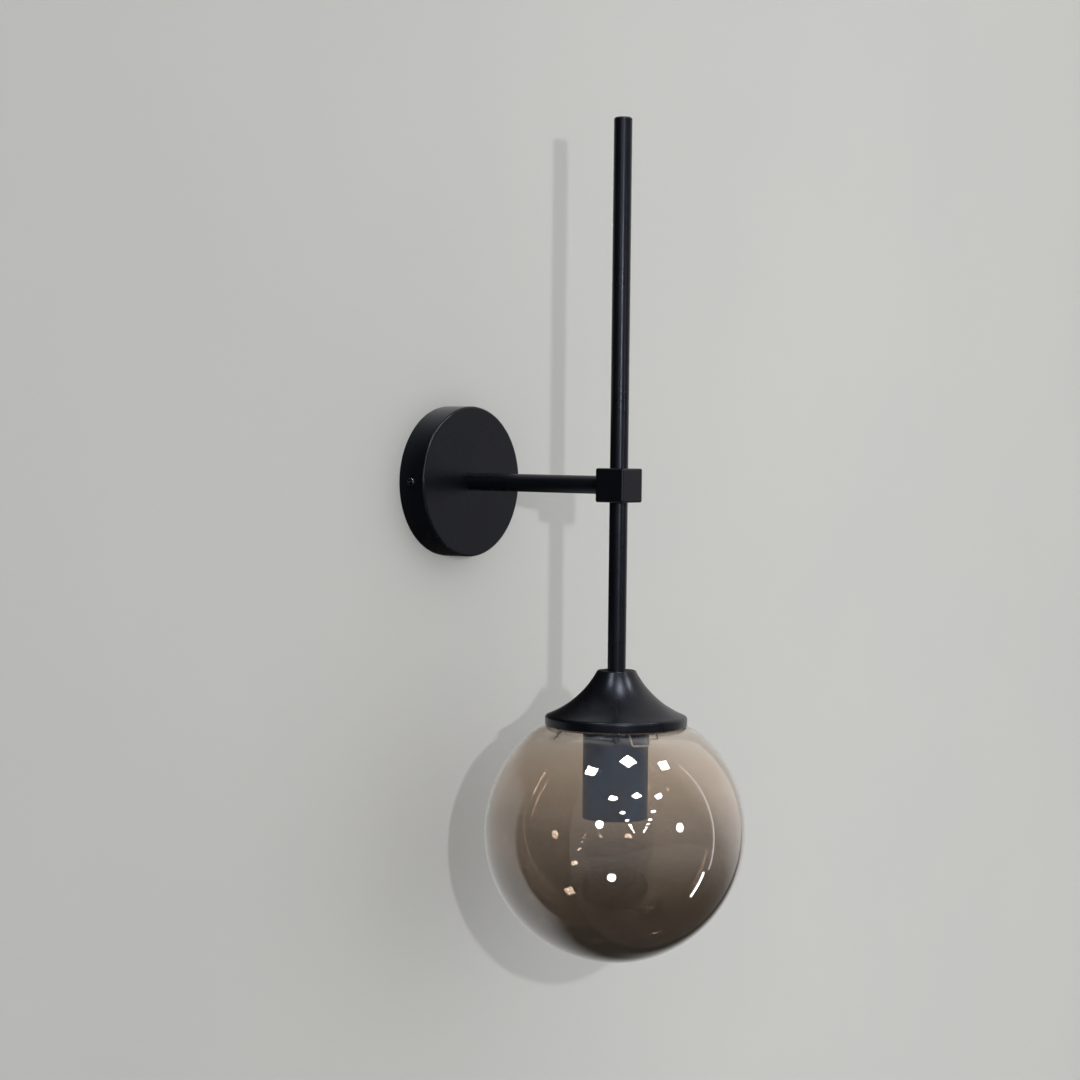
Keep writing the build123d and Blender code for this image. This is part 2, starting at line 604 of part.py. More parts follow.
def bell_cap():
    """Spun bell: flat top, concave trumpet and a short vertical skirt, of even wall."""
    centre_r, centre_z = trumpet_centre()
    rim, top = CAP_RIM_DIAMETER / 2, CAP_TOP_DIAMETER / 2
    hole = THREAD_DIAMETER / 2 + THREAD_CLEARANCE
    inner_radius = CAP_TRUMPET_RADIUS + CAP_WALL
    inner_rim, inner_top_z = CAP_INNER_RIM_RADIUS, CAP_TOP_HEIGHT - CAP_WALL
    inner_top = centre_r - sqrt(inner_radius**2 - (centre_z - inner_top_z) ** 2)
    inner_crease = centre_z - sqrt(inner_radius**2 - (centre_r - inner_rim) ** 2)
    bell = turned([
        Line((hole, CAP_TOP_HEIGHT), (top, CAP_TOP_HEIGHT)),
        trumpet_arc((top, CAP_TOP_HEIGHT), (rim, CAP_CREASE_HEIGHT), CAP_TRUMPET_RADIUS),
        Line((rim, CAP_CREASE_HEIGHT), (rim, CAP_RIM_HEIGHT)),
        Line((rim, CAP_RIM_HEIGHT), (inner_rim, CAP_RIM_HEIGHT)),
        Line((inner_rim, CAP_RIM_HEIGHT), (inner_rim, inner_crease)),
        trumpet_arc((inner_rim, inner_crease), (inner_top, inner_top_z), inner_radius),
        Line((inner_top, inner_top_z), (hole, inner_top_z)),
        Line((hole, inner_top_z), (hole, CAP_TOP_HEIGHT)),
    ])
    bell = fillet(ring_edges(bell, top, CAP_TOP_HEIGHT), CAP_TOP_EDGE_RADIUS)
    bell = fillet(ring_edges(bell, rim, CAP_CREASE_HEIGHT), CAP_CREASE_RADIUS)
    bell = fillet(ring_edges(bell, inner_rim, inner_crease), CAP_CREASE_RADIUS - CAP_WALL)
    bell = fillet(ring_edges(bell, rim, CAP_RIM_HEIGHT), CAP_RIM_EDGE_RADIUS)
    return on_axis(bell)


def trumpet_arc(start, end, radius):
    """Arc about the trumpet's centre, through the point where its middle angle meets the radius."""
    centre_r, centre_z = trumpet_centre()
    middle_r = (start[0] + end[0]) / 2 - centre_r
    middle_z = (start[1] + end[1]) / 2 - centre_z
    scale = radius / sqrt(middle_r**2 + middle_z**2)
    return ThreePointArc(start, (centre_r + middle_r * scale, centre_z + middle_z * scale), end)


def holder_nipple():
    """Long hollow nipple from the lower rod through the cap and carrier to the lampholder."""
    top, bottom = (0, AXIS_Y, CAP_TOP_HEIGHT + NIPPLE_GRIP), (0, AXIS_Y, HOLDER_NIPPLE_BOTTOM)
    return round_tube(THREAD_DIAMETER, NIPPLE_BORE, top, bottom)


def cap_lock_nut():
    """Nut that clamps the cap's top to the lower rod."""
    return on_axis(hex_nut(CAP_TOP_HEIGHT - CAP_WALL - NUT_THICKNESS))


def carrier_lock_nut():
    """Nut that clamps the carrier and sleeve to the lampholder."""
    return on_axis(hex_nut(CARRIER_TOP))


# ---- glass and its clips ----

def clip_place(angle):
    """Location of a clip's own frame: X outwards, Y along its hinge, at the hinge's height."""
    return Pos(0, AXIS_Y, CLIP_HINGE_HEIGHT) * Rot(0, 0, angle)


def clip_carrier():
    """Steel disc with a pair of bent-down lugs for each clip."""
    radius = CAP_INNER_RIM_RADIUS - CARRIER_GAP
    disc = Pos(0, 0, (CARRIER_BOTTOM + CARRIER_TOP) / 2) * Cylinder(radius, CARRIER_THICKNESS)
    disc -= Pos(0, 0, CARRIER_BOTTOM) * Cylinder(
        THREAD_DIAMETER / 2 + THREAD_CLEARANCE, 4 * CARRIER_THICKNESS
    )
    carrier = on_axis(disc)
    lug_y = CLIP_TOP_WIDTH / 2 + CLIP_BEND_RADIUS
    half = LUG_LENGTH / 2
    drop = CLIP_WIRE_DIAMETER / 2 + LUG_MARGIN
    hole = CLIP_WIRE_DIAMETER + 2 * CLIP_HINGE_CLEARANCE
    for angle in CLIP_ANGLES.values():
        place = clip_place(angle)
        for side in (-1, 1):
            near, far = sorted((side * lug_y, side * (lug_y + LUG_THICKNESS)))
            low = (CLIP_HINGE_RADIUS - half, near, -drop)
            lug = block(low, (CLIP_HINGE_RADIUS + half, far, CLIP_HINGE_DROP))
            start, end = (CLIP_HINGE_RADIUS, near - 1, 0), (CLIP_HINGE_RADIUS, far + 1, 0)
            carrier += place * (lug - round_bar(hole, start, end))
    return carrier


def glass_clip(angle):
    """Spring wire loop: two ends in the lugs, two bent legs and a straight foot."""
    out = CLIP_HINGE_RADIUS
    top, foot = CLIP_TOP_WIDTH / 2, CLIP_FOOT_WIDTH / 2
    half = [
        (out, top + CLIP_END_LENGTH, 0),
        (out, top, 0),
        (out + CLIP_ELBOW_OUT, top, 0),
        (out + CLIP_FOOT_OUT, foot, -CLIP_FOOT_DROP),
    ]
    points = half + [(x, -y, z) for x, y, z in reversed(half)]
    path = FilletPolyline(*points, radius=CLIP_BEND_RADIUS)
    section = Plane(origin=path @ 0, z_dir=path % 0) * Circle(CLIP_WIRE_DIAMETER / 2)
    return clip_place(angle) * sweep(section, path=path)


def glass_globe():
    """Blown globe: a sphere with a tighter shoulder that flattens into an open round mouth."""
    begin = degrees(atan2(SHOULDER_CENTRE_Z, SHOULDER_CENTRE_R))
    inner_globe, inner_shoulder = GLOBE_RADIUS - GLASS_WALL, SHOULDER_RADIUS - GLASS_WALL
    centre = (SHOULDER_CENTRE_R, SHOULDER_CENTRE_Z)
    across = MOUTH_RADIUS - SHOULDER_CENTRE_R
    outer_end = degrees(acos(across / SHOULDER_RADIUS))
    inner_end = degrees(acos(across / inner_shoulder))
    outer_lip = (MOUTH_RADIUS, shoulder_height(MOUTH_RADIUS, 0))
    inner_lip = (MOUTH_RADIUS, shoulder_height(MOUTH_RADIUS, GLASS_WALL))
    globe = turned([
        CenterArc((0, 0), GLOBE_RADIUS, -90, 90 + begin),
        CenterArc(centre, SHOULDER_RADIUS, begin, outer_end - begin),
        Line(outer_lip, inner_lip),
        CenterArc(centre, inner_shoulder, begin, inner_end - begin),
        CenterArc((0, 0), inner_globe, -90, 90 + begin),
        Line((0, -inner_globe), (0, -GLOBE_RADIUS)),
    ])
    lips = ring_edges(globe, MOUTH_RADIUS, outer_lip[1])
    lips += ring_edges(globe, MOUTH_RADIUS, inner_lip[1])
    globe = fillet(lips, MOUTH_EDGE_RADIUS)
    return Pos(0, AXIS_Y, GLOBE_CENTRE_HEIGHT) * globe


def glass_gasket():
    """Soft ring, flat on top, that follows the glass shoulder below."""
    top = CARRIER_BOTTOM - GLOBE_CENTRE_HEIGHT
    inner, outer = GASKET_INNER_RADIUS, GASKET_OUTER_RADIUS
    middle = (inner + outer) / 2
    ring = turned([
        Line((inner, top), (outer, top)),
        Line((outer, top), (outer, shoulder_height(outer, 0))),
        ThreePointArc(
            (outer, shoulder_height(outer, 0)),
            (middle, shoulder_height(middle, 0)),
            (inner, shoulder_height(inner, 0)),
        ),
        Line((inner, shoulder_height(inner, 0)), (inner, top)),
    ])
    return Pos(0, AXIS_Y, GLOBE_CENTRE_HEIGHT) * ring


# ---- lampholder ----

def lampholder_sleeve():
    """Deep metal cup over the lampholder, open at the bottom."""
    radius = SLEEVE_DIAMETER / 2
    cup = round_bar(SLEEVE_DIAMETER, (0, 0, SLEEVE_BOTTOM), (0, 0, SLEEVE_TOP))
    cup = fillet(ring_edges(cup, radius, SLEEVE_TOP), SLEEVE_WALL)
    inner = SLEEVE_DIAMETER - 2 * SLEEVE_WALL
    cup -= round_bar(inner, (0, 0, SLEEVE_BOTTOM - 1), (0, 0, DOME_TOP_HEIGHT))
    hole = THREAD_DIAMETER + 2 * THREAD_CLEARANCE
    return on_axis(cup - round_bar(hole, (0, 0, SLEEVE_BOTTOM), (0, 0, SLEEVE_TOP + 1)))


def lampholder_dome():
    """Moulded upper half of the lampholder, with a tapped boss for the nipple."""
    dome = round_bar(HOLDER_DIAMETER, (0, 0, CORE_TOP), (0, 0, DOME_TOP_HEIGHT))
    dome = fillet(ring_edges(dome, HOLDER_RADIUS, DOME_TOP_HEIGHT), DOME_TOP)
    inner = HOLDER_DIAMETER - 2 * DOME_WALL
    dome -= round_bar(inner, (0, 0, CORE_TOP), (0, 0, DOME_TOP_HEIGHT - DOME_TOP))
    boss_end = DOME_TOP_HEIGHT - DOME_BOSS_DEPTH
    dome += round_bar(DOME_BOSS_DIAMETER, (0, 0, boss_end), (0, 0, DOME_TOP_HEIGHT - DOME_TOP))
    return on_axis(dome - round_bar(THREAD_DIAMETER, (0, 0, CORE_TOP), (0, 0, SLEEVE_TOP)))


def lampholder_barrel():
    """Moulded lower half: a wide seat for the core and a narrower bore for the shell."""
    barrel = round_bar(HOLDER_DIAMETER, (0, 0, HOLDER_BOTTOM), (0, 0, CORE_TOP))
    seat = HOLDER_DIAMETER - 2 * HOLDER_WALL
    barrel -= round_bar(seat, (0, 0, CORE_BOTTOM), (0, 0, CORE_TOP))
    bore = SHELL_DIAMETER + 4 * CORE_GAP
    barrel -= round_bar(bore, (0, 0, HOLDER_BOTTOM), (0, 0, CORE_TOP))
    barrel = fillet(ring_edges(barrel, HOLDER_RADIUS, HOLDER_BOTTOM), HOLDER_MOUTH_RADIUS)
    return on_axis(barrel)


def lampholder_core():
    """Ceramic insert with the contact's pocket and stem hole and a slot for the shell's tab."""
    diameter = HOLDER_DIAMETER - 2 * HOLDER_WALL - 2 * CORE_GAP
    core = round_bar(diameter, (0, 0, CORE_BOTTOM), (0, 0, CORE_TOP))
    core -= round_bar(CONTACT_POCKET_DIAMETER, (0, 0, CORE_BOTTOM), (0, 0, POCKET_TOP))
    stem = CONTACT_STEM_DIAMETER + 2 * CONTACT_STEM_CLEARANCE
    core -= round_bar(stem, (0, 0, CORE_BOTTOM), (0, 0, CORE_TOP))
    tab_x, half = -SHELL_TAB_OFFSET, SHELL_TAB_WIDTH / 2 + CORE_GAP
    thick = SHELL_TAB_THICKNESS / 2 + CORE_GAP
    core -= block((tab_x - thick, -half, CORE_BOTTOM), (tab_x + thick, half, CORE_TOP))
    return on_axis(core)


def screw_shell():
    """Screw contact: a threaded cup under the core, with a tab up to the neutral terminal."""
    bottom = CORE_BOTTOM - SHELL_HEIGHT
    shell = round_bar(SHELL_DIAMETER, (0, 0, bottom), (0, 0, CORE_BOTTOM))
    inner_top = CORE_BOTTOM - SHELL_TOP_THICKNESS
    shell -= round_bar(SHELL_THREAD_MINOR, (0, 0, bottom), (0, 0, inner_top))
    shell -= round_bar(SHELL_TOP_HOLE, (0, 0, bottom), (0, 0, CORE_BOTTOM))
    root = SHELL_THREAD_MAJOR / 2
    depth = root - SHELL_THREAD_MINOR / 2
    bore_side, root_half, mouth_half = root - 2 * depth, depth / 2, 1.5 * depth
    groove = turned([
        Line((bore_side, -mouth_half), (root, -root_half)),
        Line((root, -root_half), (root, root_half)),
        Line((root, root_half), (bore_side, mouth_half)),
        Line((bore_side, mouth_half), (bore_side, -mouth_half)),
    ])
    for turn in range(SHELL_THREAD_TURNS):
        height = bottom + (turn + 0.5) * SHELL_THREAD_PITCH
        shell -= Pos(0, 0, height) * groove
    tab_x, half, thick = -SHELL_TAB_OFFSET, SHELL_TAB_WIDTH / 2, SHELL_TAB_THICKNESS / 2
    low = (tab_x - thick, -half, inner_top)
    shell += block(low, (tab_x + thick, half, CORE_TOP))
    return on_axis(shell)


def centre_contact():
    """Sprung plunger: domed head below, stem through the core and a riveted stop on top."""
    radius = CONTACT_HEAD_DIAMETER / 2
    head = round_bar(CONTACT_HEAD_DIAMETER, (0, 0, CONTACT_TIP), (0, 0, CONTACT_HEAD_TOP))
    head = fillet(ring_edges(head, radius, CONTACT_TIP), CONTACT_HEAD_HEIGHT / 2)
    stop_top = STRAP_TOP + CONTACT_FLANGE_HEIGHT
    head += round_bar(CONTACT_STEM_DIAMETER, (0, 0, CONTACT_HEAD_TOP), (0, 0, stop_top))
    head += round_bar(CONTACT_FLANGE_DIAMETER, (0, 0, STRAP_TOP), (0, 0, stop_top))
    return on_axis(head)


def contact_spring():
    """Coil spring round the stem, between the plunger's head and the pocket's top."""
    room = POCKET_TOP - CONTACT_HEAD_TOP - SPRING_WIRE_DIAMETER - 2 * SPRING_END_GAP
    coil = Helix(room / SPRING_TURNS, room, SPRING_COIL_DIAMETER / 2)
    section = Plane(origin=coil @ 0, z_dir=coil % 0) * Circle(SPRING_WIRE_DIAMETER / 2)
    spring = sweep(section, path=coil)
    low = CONTACT_HEAD_TOP + SPRING_END_GAP + SPRING_WIRE_DIAMETER / 2
    return on_axis(Pos(0, 0, low) * spring)


def holder_terminal(side):
    """Brass terminal on the core: side +1 is live, -1 is neutral."""
    near = side * (TERMINAL_OFFSET - TERMINAL_LENGTH / 2)
    far = side * (TERMINAL_OFFSET + TERMINAL_LENGTH / 2)
    low_x, high_x = sorted((near, far))
    half = TERMINAL_WIDTH / 2
    top = CORE_TOP + TERMINAL_HEIGHT
    body = block((low_x, -half, CORE_TOP), (high_x, half, top))
    lead_x = side * LEAD_HOLE_OFFSET
    hole = LEAD_DIAMETER + 2 * CORE_GAP
    body -= round_bar(hole, (lead_x, 0, CORE_TOP + TERMINAL_HOLE_FLOOR), (lead_x, 0, top + 1))
    screw_z = terminal_screw_height()
    return body - round_bar(TERMINAL_SCREW_DIAMETER, (lead_x, 0, screw_z), (2 * far, 0, screw_z))


def terminal_screw_height():
    """Height of the lampholder's terminal screws."""
    return CORE_TOP + TERMINAL_HEIGHT / 2


def live_terminal():
    """Live terminal with a strap under the plunger's stop."""
    half = TERMINAL_WIDTH / 2
    reach = CONTACT_FLANGE_DIAMETER / 2 + TERMINAL_STRAP_MARGIN
    near = TERMINAL_OFFSET - TERMINAL_LENGTH / 2
    strap = block((-reach, -half, CORE_TOP), (near, half, STRAP_TOP))
    hole = CONTACT_STEM_DIAMETER + 2 * SCREW_CLEARANCE
    strap -= round_bar(hole, (0, 0, CORE_TOP), (0, 0, STRAP_TOP))
    return on_axis(holder_terminal(1) + strap)


def neutral_terminal():
    """Neutral terminal, which stands on the shell's tab."""
    return on_axis(holder_terminal(-1))


def holder_terminal_screws():
    """Two screws that clamp the leads in the lampholder's terminals."""
    far = TERMINAL_OFFSET + TERMINAL_LENGTH / 2
    tip = LEAD_HOLE_OFFSET + LEAD_DIAMETER / 2 + LEAD_TO_SCREW
    screw = cross_screw(
        TERMINAL_SCREW_DIAMETER, far - tip, TERMINAL_SCREW_HEAD, TERMINAL_SCREW_HEAD_HEIGHT
    )
    height = terminal_screw_height()
    return [
        on_axis(Pos(side * far, 0, height) * Rot(0, side * 90, 0) * screw) for side in (-1, 1)
    ]


# ---- leads ----

def lead(points, corner_radii):
    """Round insulated lead along straight runs joined by tangent arcs."""
    path = FilletPolyline(*points, radius=corner_radii)
    section = Plane(origin=path @ 0, z_dir=path % 0) * Circle(LEAD_DIAMETER / 2)
    return sweep(section, path=path)


def mains_lead(way_x, side):
    """Lead from a way of the block through the arm, cube and lower rod to its terminal."""
    x = side * LEAD_SPACING / 2
    lead_x = side * LEAD_HOLE_OFFSET
    terminal_top = CORE_TOP + TERMINAL_HEIGHT
    points = [
        (way_x, BARREL_Y, block_middle() - LEAD_PAST_MIDDLE),
        (way_x, BARREL_Y, BLOCK_BOTTOM - LEAD_STRAIGHT),
        (x, BARREL_Y, 0),
        (x, AXIS_Y, 0),
        (x, AXIS_Y, HOLDER_NIPPLE_BOTTOM - LEAD_FREE),
        (lead_x, AXIS_Y, terminal_top + LEAD_RISE),
        (lead_x, AXIS_Y, CORE_TOP + LEAD_END_GAP),
    ]
    return lead(points, [LEAD_BLOCK_BEND, LEAD_CANOPY_BEND, LEAD_CUBE_BEND, LEAD_BEND, LEAD_BEND])


def earth_lead():
    """Lead from the block's earth way round to the tag on the arm nipple."""
    start, end = tag_barrel_ends()
    tag_y = -(TAG_FRONT - TAG_BARREL_DIAMETER / 2)
    loop_x = end - EARTH_LOOP_OUT
    points = [
        (start - TAG_BARREL_END, tag_y, 0),
        (loop_x, tag_y, 0),
        (loop_x, BARREL_Y, EARTH_LOOP_HEIGHT),
        (-BLOCK_PITCH, BARREL_Y, EARTH_LOOP_HEIGHT),
        (-BLOCK_PITCH, BARREL_Y, block_middle() - LEAD_PAST_MIDDLE),
    ]
    return lead(points, [LEAD_BEND, LEAD_BEND, LEAD_BEND])


# ---- the whole light ----

parts = {
    "wall_bracket": wall_bracket(),
    "canopy": canopy(),
    "canopy_side_screws": canopy_side_screws(),
    "earth_screw": earth_screw(),
    "terminal_block": terminal_block(),
    "terminal_barrels": terminal_barrels(),
    "clamp_screws": clamp_screws(),
    "block_screw": block_screw(),
    "arm_nipple": arm_nipple(),
    "arm_washer": arm_washer(),
    "earth_tag": earth_tag(),
    "arm_lock_nut": arm_lock_nut(),
    "nipple_bush": nipple_bush(),
    "arm_tube": arm_tube(),
    "arm_cube_nipple": arm_cube_nipple(),
    "cube_connector": cube_connector(),
    "upper_rod_stud": upper_rod_stud(),
    "upper_rod": upper_rod(),
    "rod_end_plug": rod_end_plug(),
    "lower_cube_nipple": lower_cube_nipple(),
    "lower_rod": lower_rod(),
    "bell_cap": bell_cap(),
    "holder_nipple": holder_nipple(),
    "cap_lock_nut": cap_lock_nut(),
    "carrier_lock_nut": carrier_lock_nut(),
    "clip_carrier": clip_carrier(),
    "glass_globe": glass_globe(),
    "glass_gasket": glass_gasket(),
    "lampholder_sleeve": lampholder_sleeve(),
    "lampholder_dome": lampholder_dome(),
    "lampholder_barrel": lampholder_barrel(),
    "lampholder_core": lampholder_core(),
    "screw_shell": screw_shell(),
    "centre_contact": centre_contact(),
    "contact_spring": contact_spring(),
    "live_terminal": live_terminal(),
    "neutral_terminal": neutral_terminal(),
    "holder_terminal_screws": holder_terminal_screws(),
    "live_lead": mains_lead(BLOCK_PITCH, 1),
    "neutral_lead": mains_lead(0.0, -1),
    "earth_lead": earth_lead(),
}
for clip_name, clip_angle in CLIP_ANGLES.items():
    parts[f"glass_clip_{clip_name}"] = glass_clip(clip_angle)

os.makedirs("parts", exist_ok=True)
for node, shape in parts.items():
    solids = shape if isinstance(shape, list) else [shape]
    export_step(Compound([solid for piece in solids for solid in piece.solids()]), f"parts/{node}.step")
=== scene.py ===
"""Looks of a globe wall sconce: satin black metal, a smoked glass globe and a dark lampholder sleeve,
on a pale painted wall.

Metres, +Z up. The wall is the plane y = 0 and the light stands out from it along -Y.
"""

import json
from math import cos, pi, radians, sin

import bmesh
import bpy
import numpy as np
from mathutils import Matrix, Vector


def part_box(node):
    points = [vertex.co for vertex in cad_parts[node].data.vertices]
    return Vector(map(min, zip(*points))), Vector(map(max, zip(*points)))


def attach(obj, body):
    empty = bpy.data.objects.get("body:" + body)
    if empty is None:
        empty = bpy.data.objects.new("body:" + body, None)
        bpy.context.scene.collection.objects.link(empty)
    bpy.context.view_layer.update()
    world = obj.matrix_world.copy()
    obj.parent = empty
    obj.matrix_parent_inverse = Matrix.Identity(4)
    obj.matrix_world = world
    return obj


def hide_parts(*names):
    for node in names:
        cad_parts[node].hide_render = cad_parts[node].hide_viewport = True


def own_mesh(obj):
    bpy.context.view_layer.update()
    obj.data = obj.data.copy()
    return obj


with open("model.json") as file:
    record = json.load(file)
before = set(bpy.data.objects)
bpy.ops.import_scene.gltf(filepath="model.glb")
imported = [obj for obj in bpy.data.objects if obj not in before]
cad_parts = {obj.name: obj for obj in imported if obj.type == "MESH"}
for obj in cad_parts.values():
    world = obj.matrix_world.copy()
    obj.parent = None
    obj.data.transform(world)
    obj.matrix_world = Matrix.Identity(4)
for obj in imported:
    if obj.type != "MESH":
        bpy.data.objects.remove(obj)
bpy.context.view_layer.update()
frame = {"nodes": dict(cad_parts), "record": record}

MM = 0.001
MERGE_DISTANCE = 1e-6  # points of a mesh that are nearer than this become one, metres

# ---- sizes of the pieces that are made here, mm ----

AXIS_Y = -170.0  # the vertical axis of the rods, cap and globe

GLOBE_RADIUS = 100.0
GLOBE_CENTRE = -265.497  # its height
SHOULDER_RADIUS = 33.0
SHOULDER_ANGLE = 43.007  # degrees from the top of the globe to where the shoulder begins
MOUTH_RADIUS = 44.0
GLASS_WALL = 2.0
BALL_LEVELS = 150
SHOULDER_LEVELS = 40
LIP_LEVELS = 9
GLOBE_COLUMNS = 240

THREAD_MINOR = 12.35  # inner radius of the screw shell between the thread's turns
THREAD_DEPTH = 0.95
THREAD_PITCH = 3.63
THREAD_RISE = 2.5  # height over which the thread grows from the mouth
THREAD_FADE = 3.0  # height over which it fades near the top
THREAD_END = 2.0  # from the core down to where it has faded
SHELL_WALL = 0.35
SHELL_MOUTH = 0.1  # from the CAD shell's lower end up to the mouth's edge
SHELL_FIRST = 0.5  # and up to the first level of the wall
SHELL_LAST = 0.9  # from the core down to the last level of the wall
SHELL_LEVELS = 130
SHELL_COLUMNS = 96
# the shell's top plate: radius and depth under the core, from its inner corner round the hole
SHELL_PLATE = ((11.75, 0.6), (6.3, 0.6), (6.0, 0.3), (6.3, 0.02), (12.05, 0.02))

TAB_PLACE = -11.0  # from the axis to the middle of the shell's tab
TAB_WIDTH = 4.0
TAB_THICKNESS = 0.6
TAB_ROOT = 0.6  # how far the tab goes down under the core, into the shell's plate
TAB_EDGE = 0.1  # height of the slope round each of its ends
TAB_END = 0.9  # width of its end faces, as a share of its own
TAB_CORNER = 0.2  # power that rounds its corners: 0 gives a sharp rectangle, and 1 an ellipse
TAB_COLUMNS = 32

COIL_RADIUS = 2.3  # of the contact's spring, to the middle of its wire
COIL_WIRE = 0.6
COIL_TURNS = 4
COIL_STEPS = 192
WIRE_COLUMNS = 16

# ---- finishes ----

TINT_TOP = 0.8  # where the glass tint's scale ends, as a share of the radius above the globe's middle
# share of the height from the globe's lowest point to there, and what one wall lets through
GLASS_TINT = ((0.03, "#635950"), (0.25, "#8a7e72"), (0.55, "#c9bdb2"), (0.8, "#eaddd0"), (0.97, "#f5ede5"))
THIN_FILM = (0.95, 0.15)  # share of that height, and how dense the outside's film is there
FULL_FILM = (0.3, 1.0)
INSIDE_FILM = 0.5  # how dense the film is inside, as a share of the outside

EARTH_BANDS = 12.566  # how far X + Y + Z grow from one green band of the earth lead to the next, mm

# ---- stage, metres ----

WALL_HOLE = 0.054  # radius of the wall's hole behind the canopy, where its cable comes out
WALL_HALF_WIDTH = 4.0
WALL_TOP = 2.6
WALL_COLUMNS = 128
WALL_RINGS = 12
FLOOR_HEIGHT = -1.9
FLOOR_HALF_WIDTH = 6.0
ROOM_DEPTH = 18.0
FLOOR_POINTS = 9  # along each side of the floor's grid
NEARLY_ZERO = 1e-6  # keeps a division from 0
PAINTED_LIGHT_EDGES = (-0.75, 0.75)  # X where painted light starts to make the wall's paint lighter, and where it is lightest

PAINTED_ROOM_REFLECTION = "#2c2a28"  # painted reflection: the glow that gloss sees of the wall outside its pale zones
# pale painted-reflection zones of the wall in gloss: colour and soft edges, each an axis, where it is 0 and
# where it is full
PAINTED_REFLECTION_ZONES = (
    ("#b6b6b4", ("X", -0.2, -0.17), ("Z", -0.75, -0.45), ("Z", -0.13, -0.19)),  # behind the globe
    ("#cccccb", ("X", 0.2, 0.5), ("Z", -1.1, -0.25)),  # on the right
    ("#cccccb", ("X", -0.08, -0.02), ("Z", -0.05, 0.03)),  # above the arm
)

SURROUND = "#8c8c8c"  # what camera, gloss and glass see of the studio
BELOW = "#463f38"  # and what they see in its lower part
BELOW_EDGES = (-0.65, -0.1)  # sine of the rise where the lower part ends, and where the surround is full
BRIGHT_SIDE = "#fffaf6"  # the studio's soft bright side
BRIGHT_TOWARD = (85, 30)  # its azimuth and rise from the globe, degrees
BRIGHT_EDGES = (0.55, 0.95)  # cosine of the angle from there where it begins, and where it is full
MATT_LEVEL = 0.88  # strength of the studio's white for what is matt

# ---- lamps, metres from the globe's middle, and watts ----

CEILING_ROWS = 9
WHOLE_ROWS = 2  # rows with a panel in the middle column too
FIRST_PANEL = Vector((-1.25, 0.0, 2.0))
PANEL_TO_COLUMN = Vector((0.91, -0.675, 0.0))  # from a panel to the one in the next column
PANEL_TO_ROW = Vector((-0.97, -1.5, 0.0))  # and to the one in the next row
ROUND_LAMPS = {"left": (-67, 14), "right": (5, 8), "low": (-56, -31)}  # azimuth and rise, degrees
ROUND_DISTANCE = 3.0
TUBE_ENDS = ((36, -40), (35, -24))  # azimuth and rise, degrees
TUBE_DISTANCE = 2.0
DOOR_AZIMUTH = 41
DOOR_DISTANCE = 2.2
DOOR_HEIGHT = 0.7  # of the strip's middle
KEY_TOWARD = (-40, 13)
KEY_DISTANCE = 2.1

# ---- camera, metres, degrees and mm ----

CAMERA_PLACE = (-1.5564, -1.3134, 0.0369)
CAMERA_AZIMUTH = -51.925
CAMERA_PITCH = -2.353
CAMERA_ROLL = 0.623
CAMERA_LENS = 84.27
CAMERA_SENSOR = 36.0


def linear(code):
    """An sRGB colour written as six hex digits, as linear red, green, blue and alpha."""
    parts = [int(code[i:i + 2], 16) / 255 for i in (1, 3, 5)]
    return [c / 12.92 if c <= 0.04045 else ((c + 0.055) / 1.055) ** 2.4 for c in parts] + [1.0]


# ---- meshes ----

def surface(name, grid, wrap_rows=False, wrap_columns=True):
    """Mesh over a grid of points in mm, rows x columns, whose rows or columns may close on themselves.

    Each face joins neighbours (i, j), (i, j+1), (i+1, j+1), (i+1, j). Rows at a pole share one point,
    so points that coincide are merged. Faces are smooth, and on a closed mesh they point outwards.
    """
    rows, columns = grid.shape[:2]
    i = np.arange(rows if wrap_rows else rows - 1)[:, None]
    j = np.arange(columns if wrap_columns else columns - 1)[None, :]
    i_next, j_next = (i + 1) % rows, (j + 1) % columns
    faces = np.stack([i * columns + j, i * columns + j_next,
                      i_next * columns + j_next, i_next * columns + j], axis=-1).reshape(-1, 4)
    mesh = bpy.data.meshes.new(name)
    mesh.from_pydata((grid.reshape(-1, 3) * MM).tolist(), [], faces.tolist())
    solid = bmesh.new()
    solid.from_mesh(mesh)
    bmesh.ops.remove_doubles(solid, verts=solid.verts, dist=MERGE_DISTANCE)
    bmesh.ops.recalc_face_normals(solid, faces=solid.faces)
    solid.to_mesh(mesh)
    solid.free()
    mesh.polygons.foreach_set("use_smooth", np.ones(len(mesh.polygons), bool))
    mesh.update()
    piece = bpy.data.objects.new(name, mesh)
    bpy.context.scene.collection.objects.link(piece)
    return piece


def flat_sheet(name, grid, side, wrap_columns):
    """Open flat surface over a grid, whose faces look to this side."""
    sheet = surface(name, grid, wrap_columns=wrap_columns)
    if sum(p.normal.dot(side) * p.area for p in sheet.data.polygons) < 0:
        sheet.data.flip_normals()
    return sheet


def join(piece, other):
    """Puts another piece's mesh into this one's."""
    both = bmesh.new()
    both.from_mesh(piece.data)
    both.from_mesh(other.data)
    both.to_mesh(piece.data)
    both.free()
    bpy.data.objects.remove(other)


def arc(centre, radius, start, end, count):
    """Points (radius, height) on a circle about centre, from one angle to another in degrees."""
    angles = np.radians(np.linspace(start, end, count))
    return np.stack([centre[0] + radius * np.cos(angles), centre[1] + radius * np.sin(angles)], axis=1)


def turned(profile, count, height):
    """Grid of a profile (radius, z) turned about the vertical axis.

    At angle a the point goes to (radius cos a, axis + radius sin a, z + height).
    """
    angles = np.linspace(0, 2 * pi, count, endpoint=False)
    radius, z = profile[:, :1], profile[:, 1:] + height
    return np.stack([radius * np.cos(angles), AXIS_Y + radius * np.sin(angles),
                     z + 0 * angles], axis=-1)


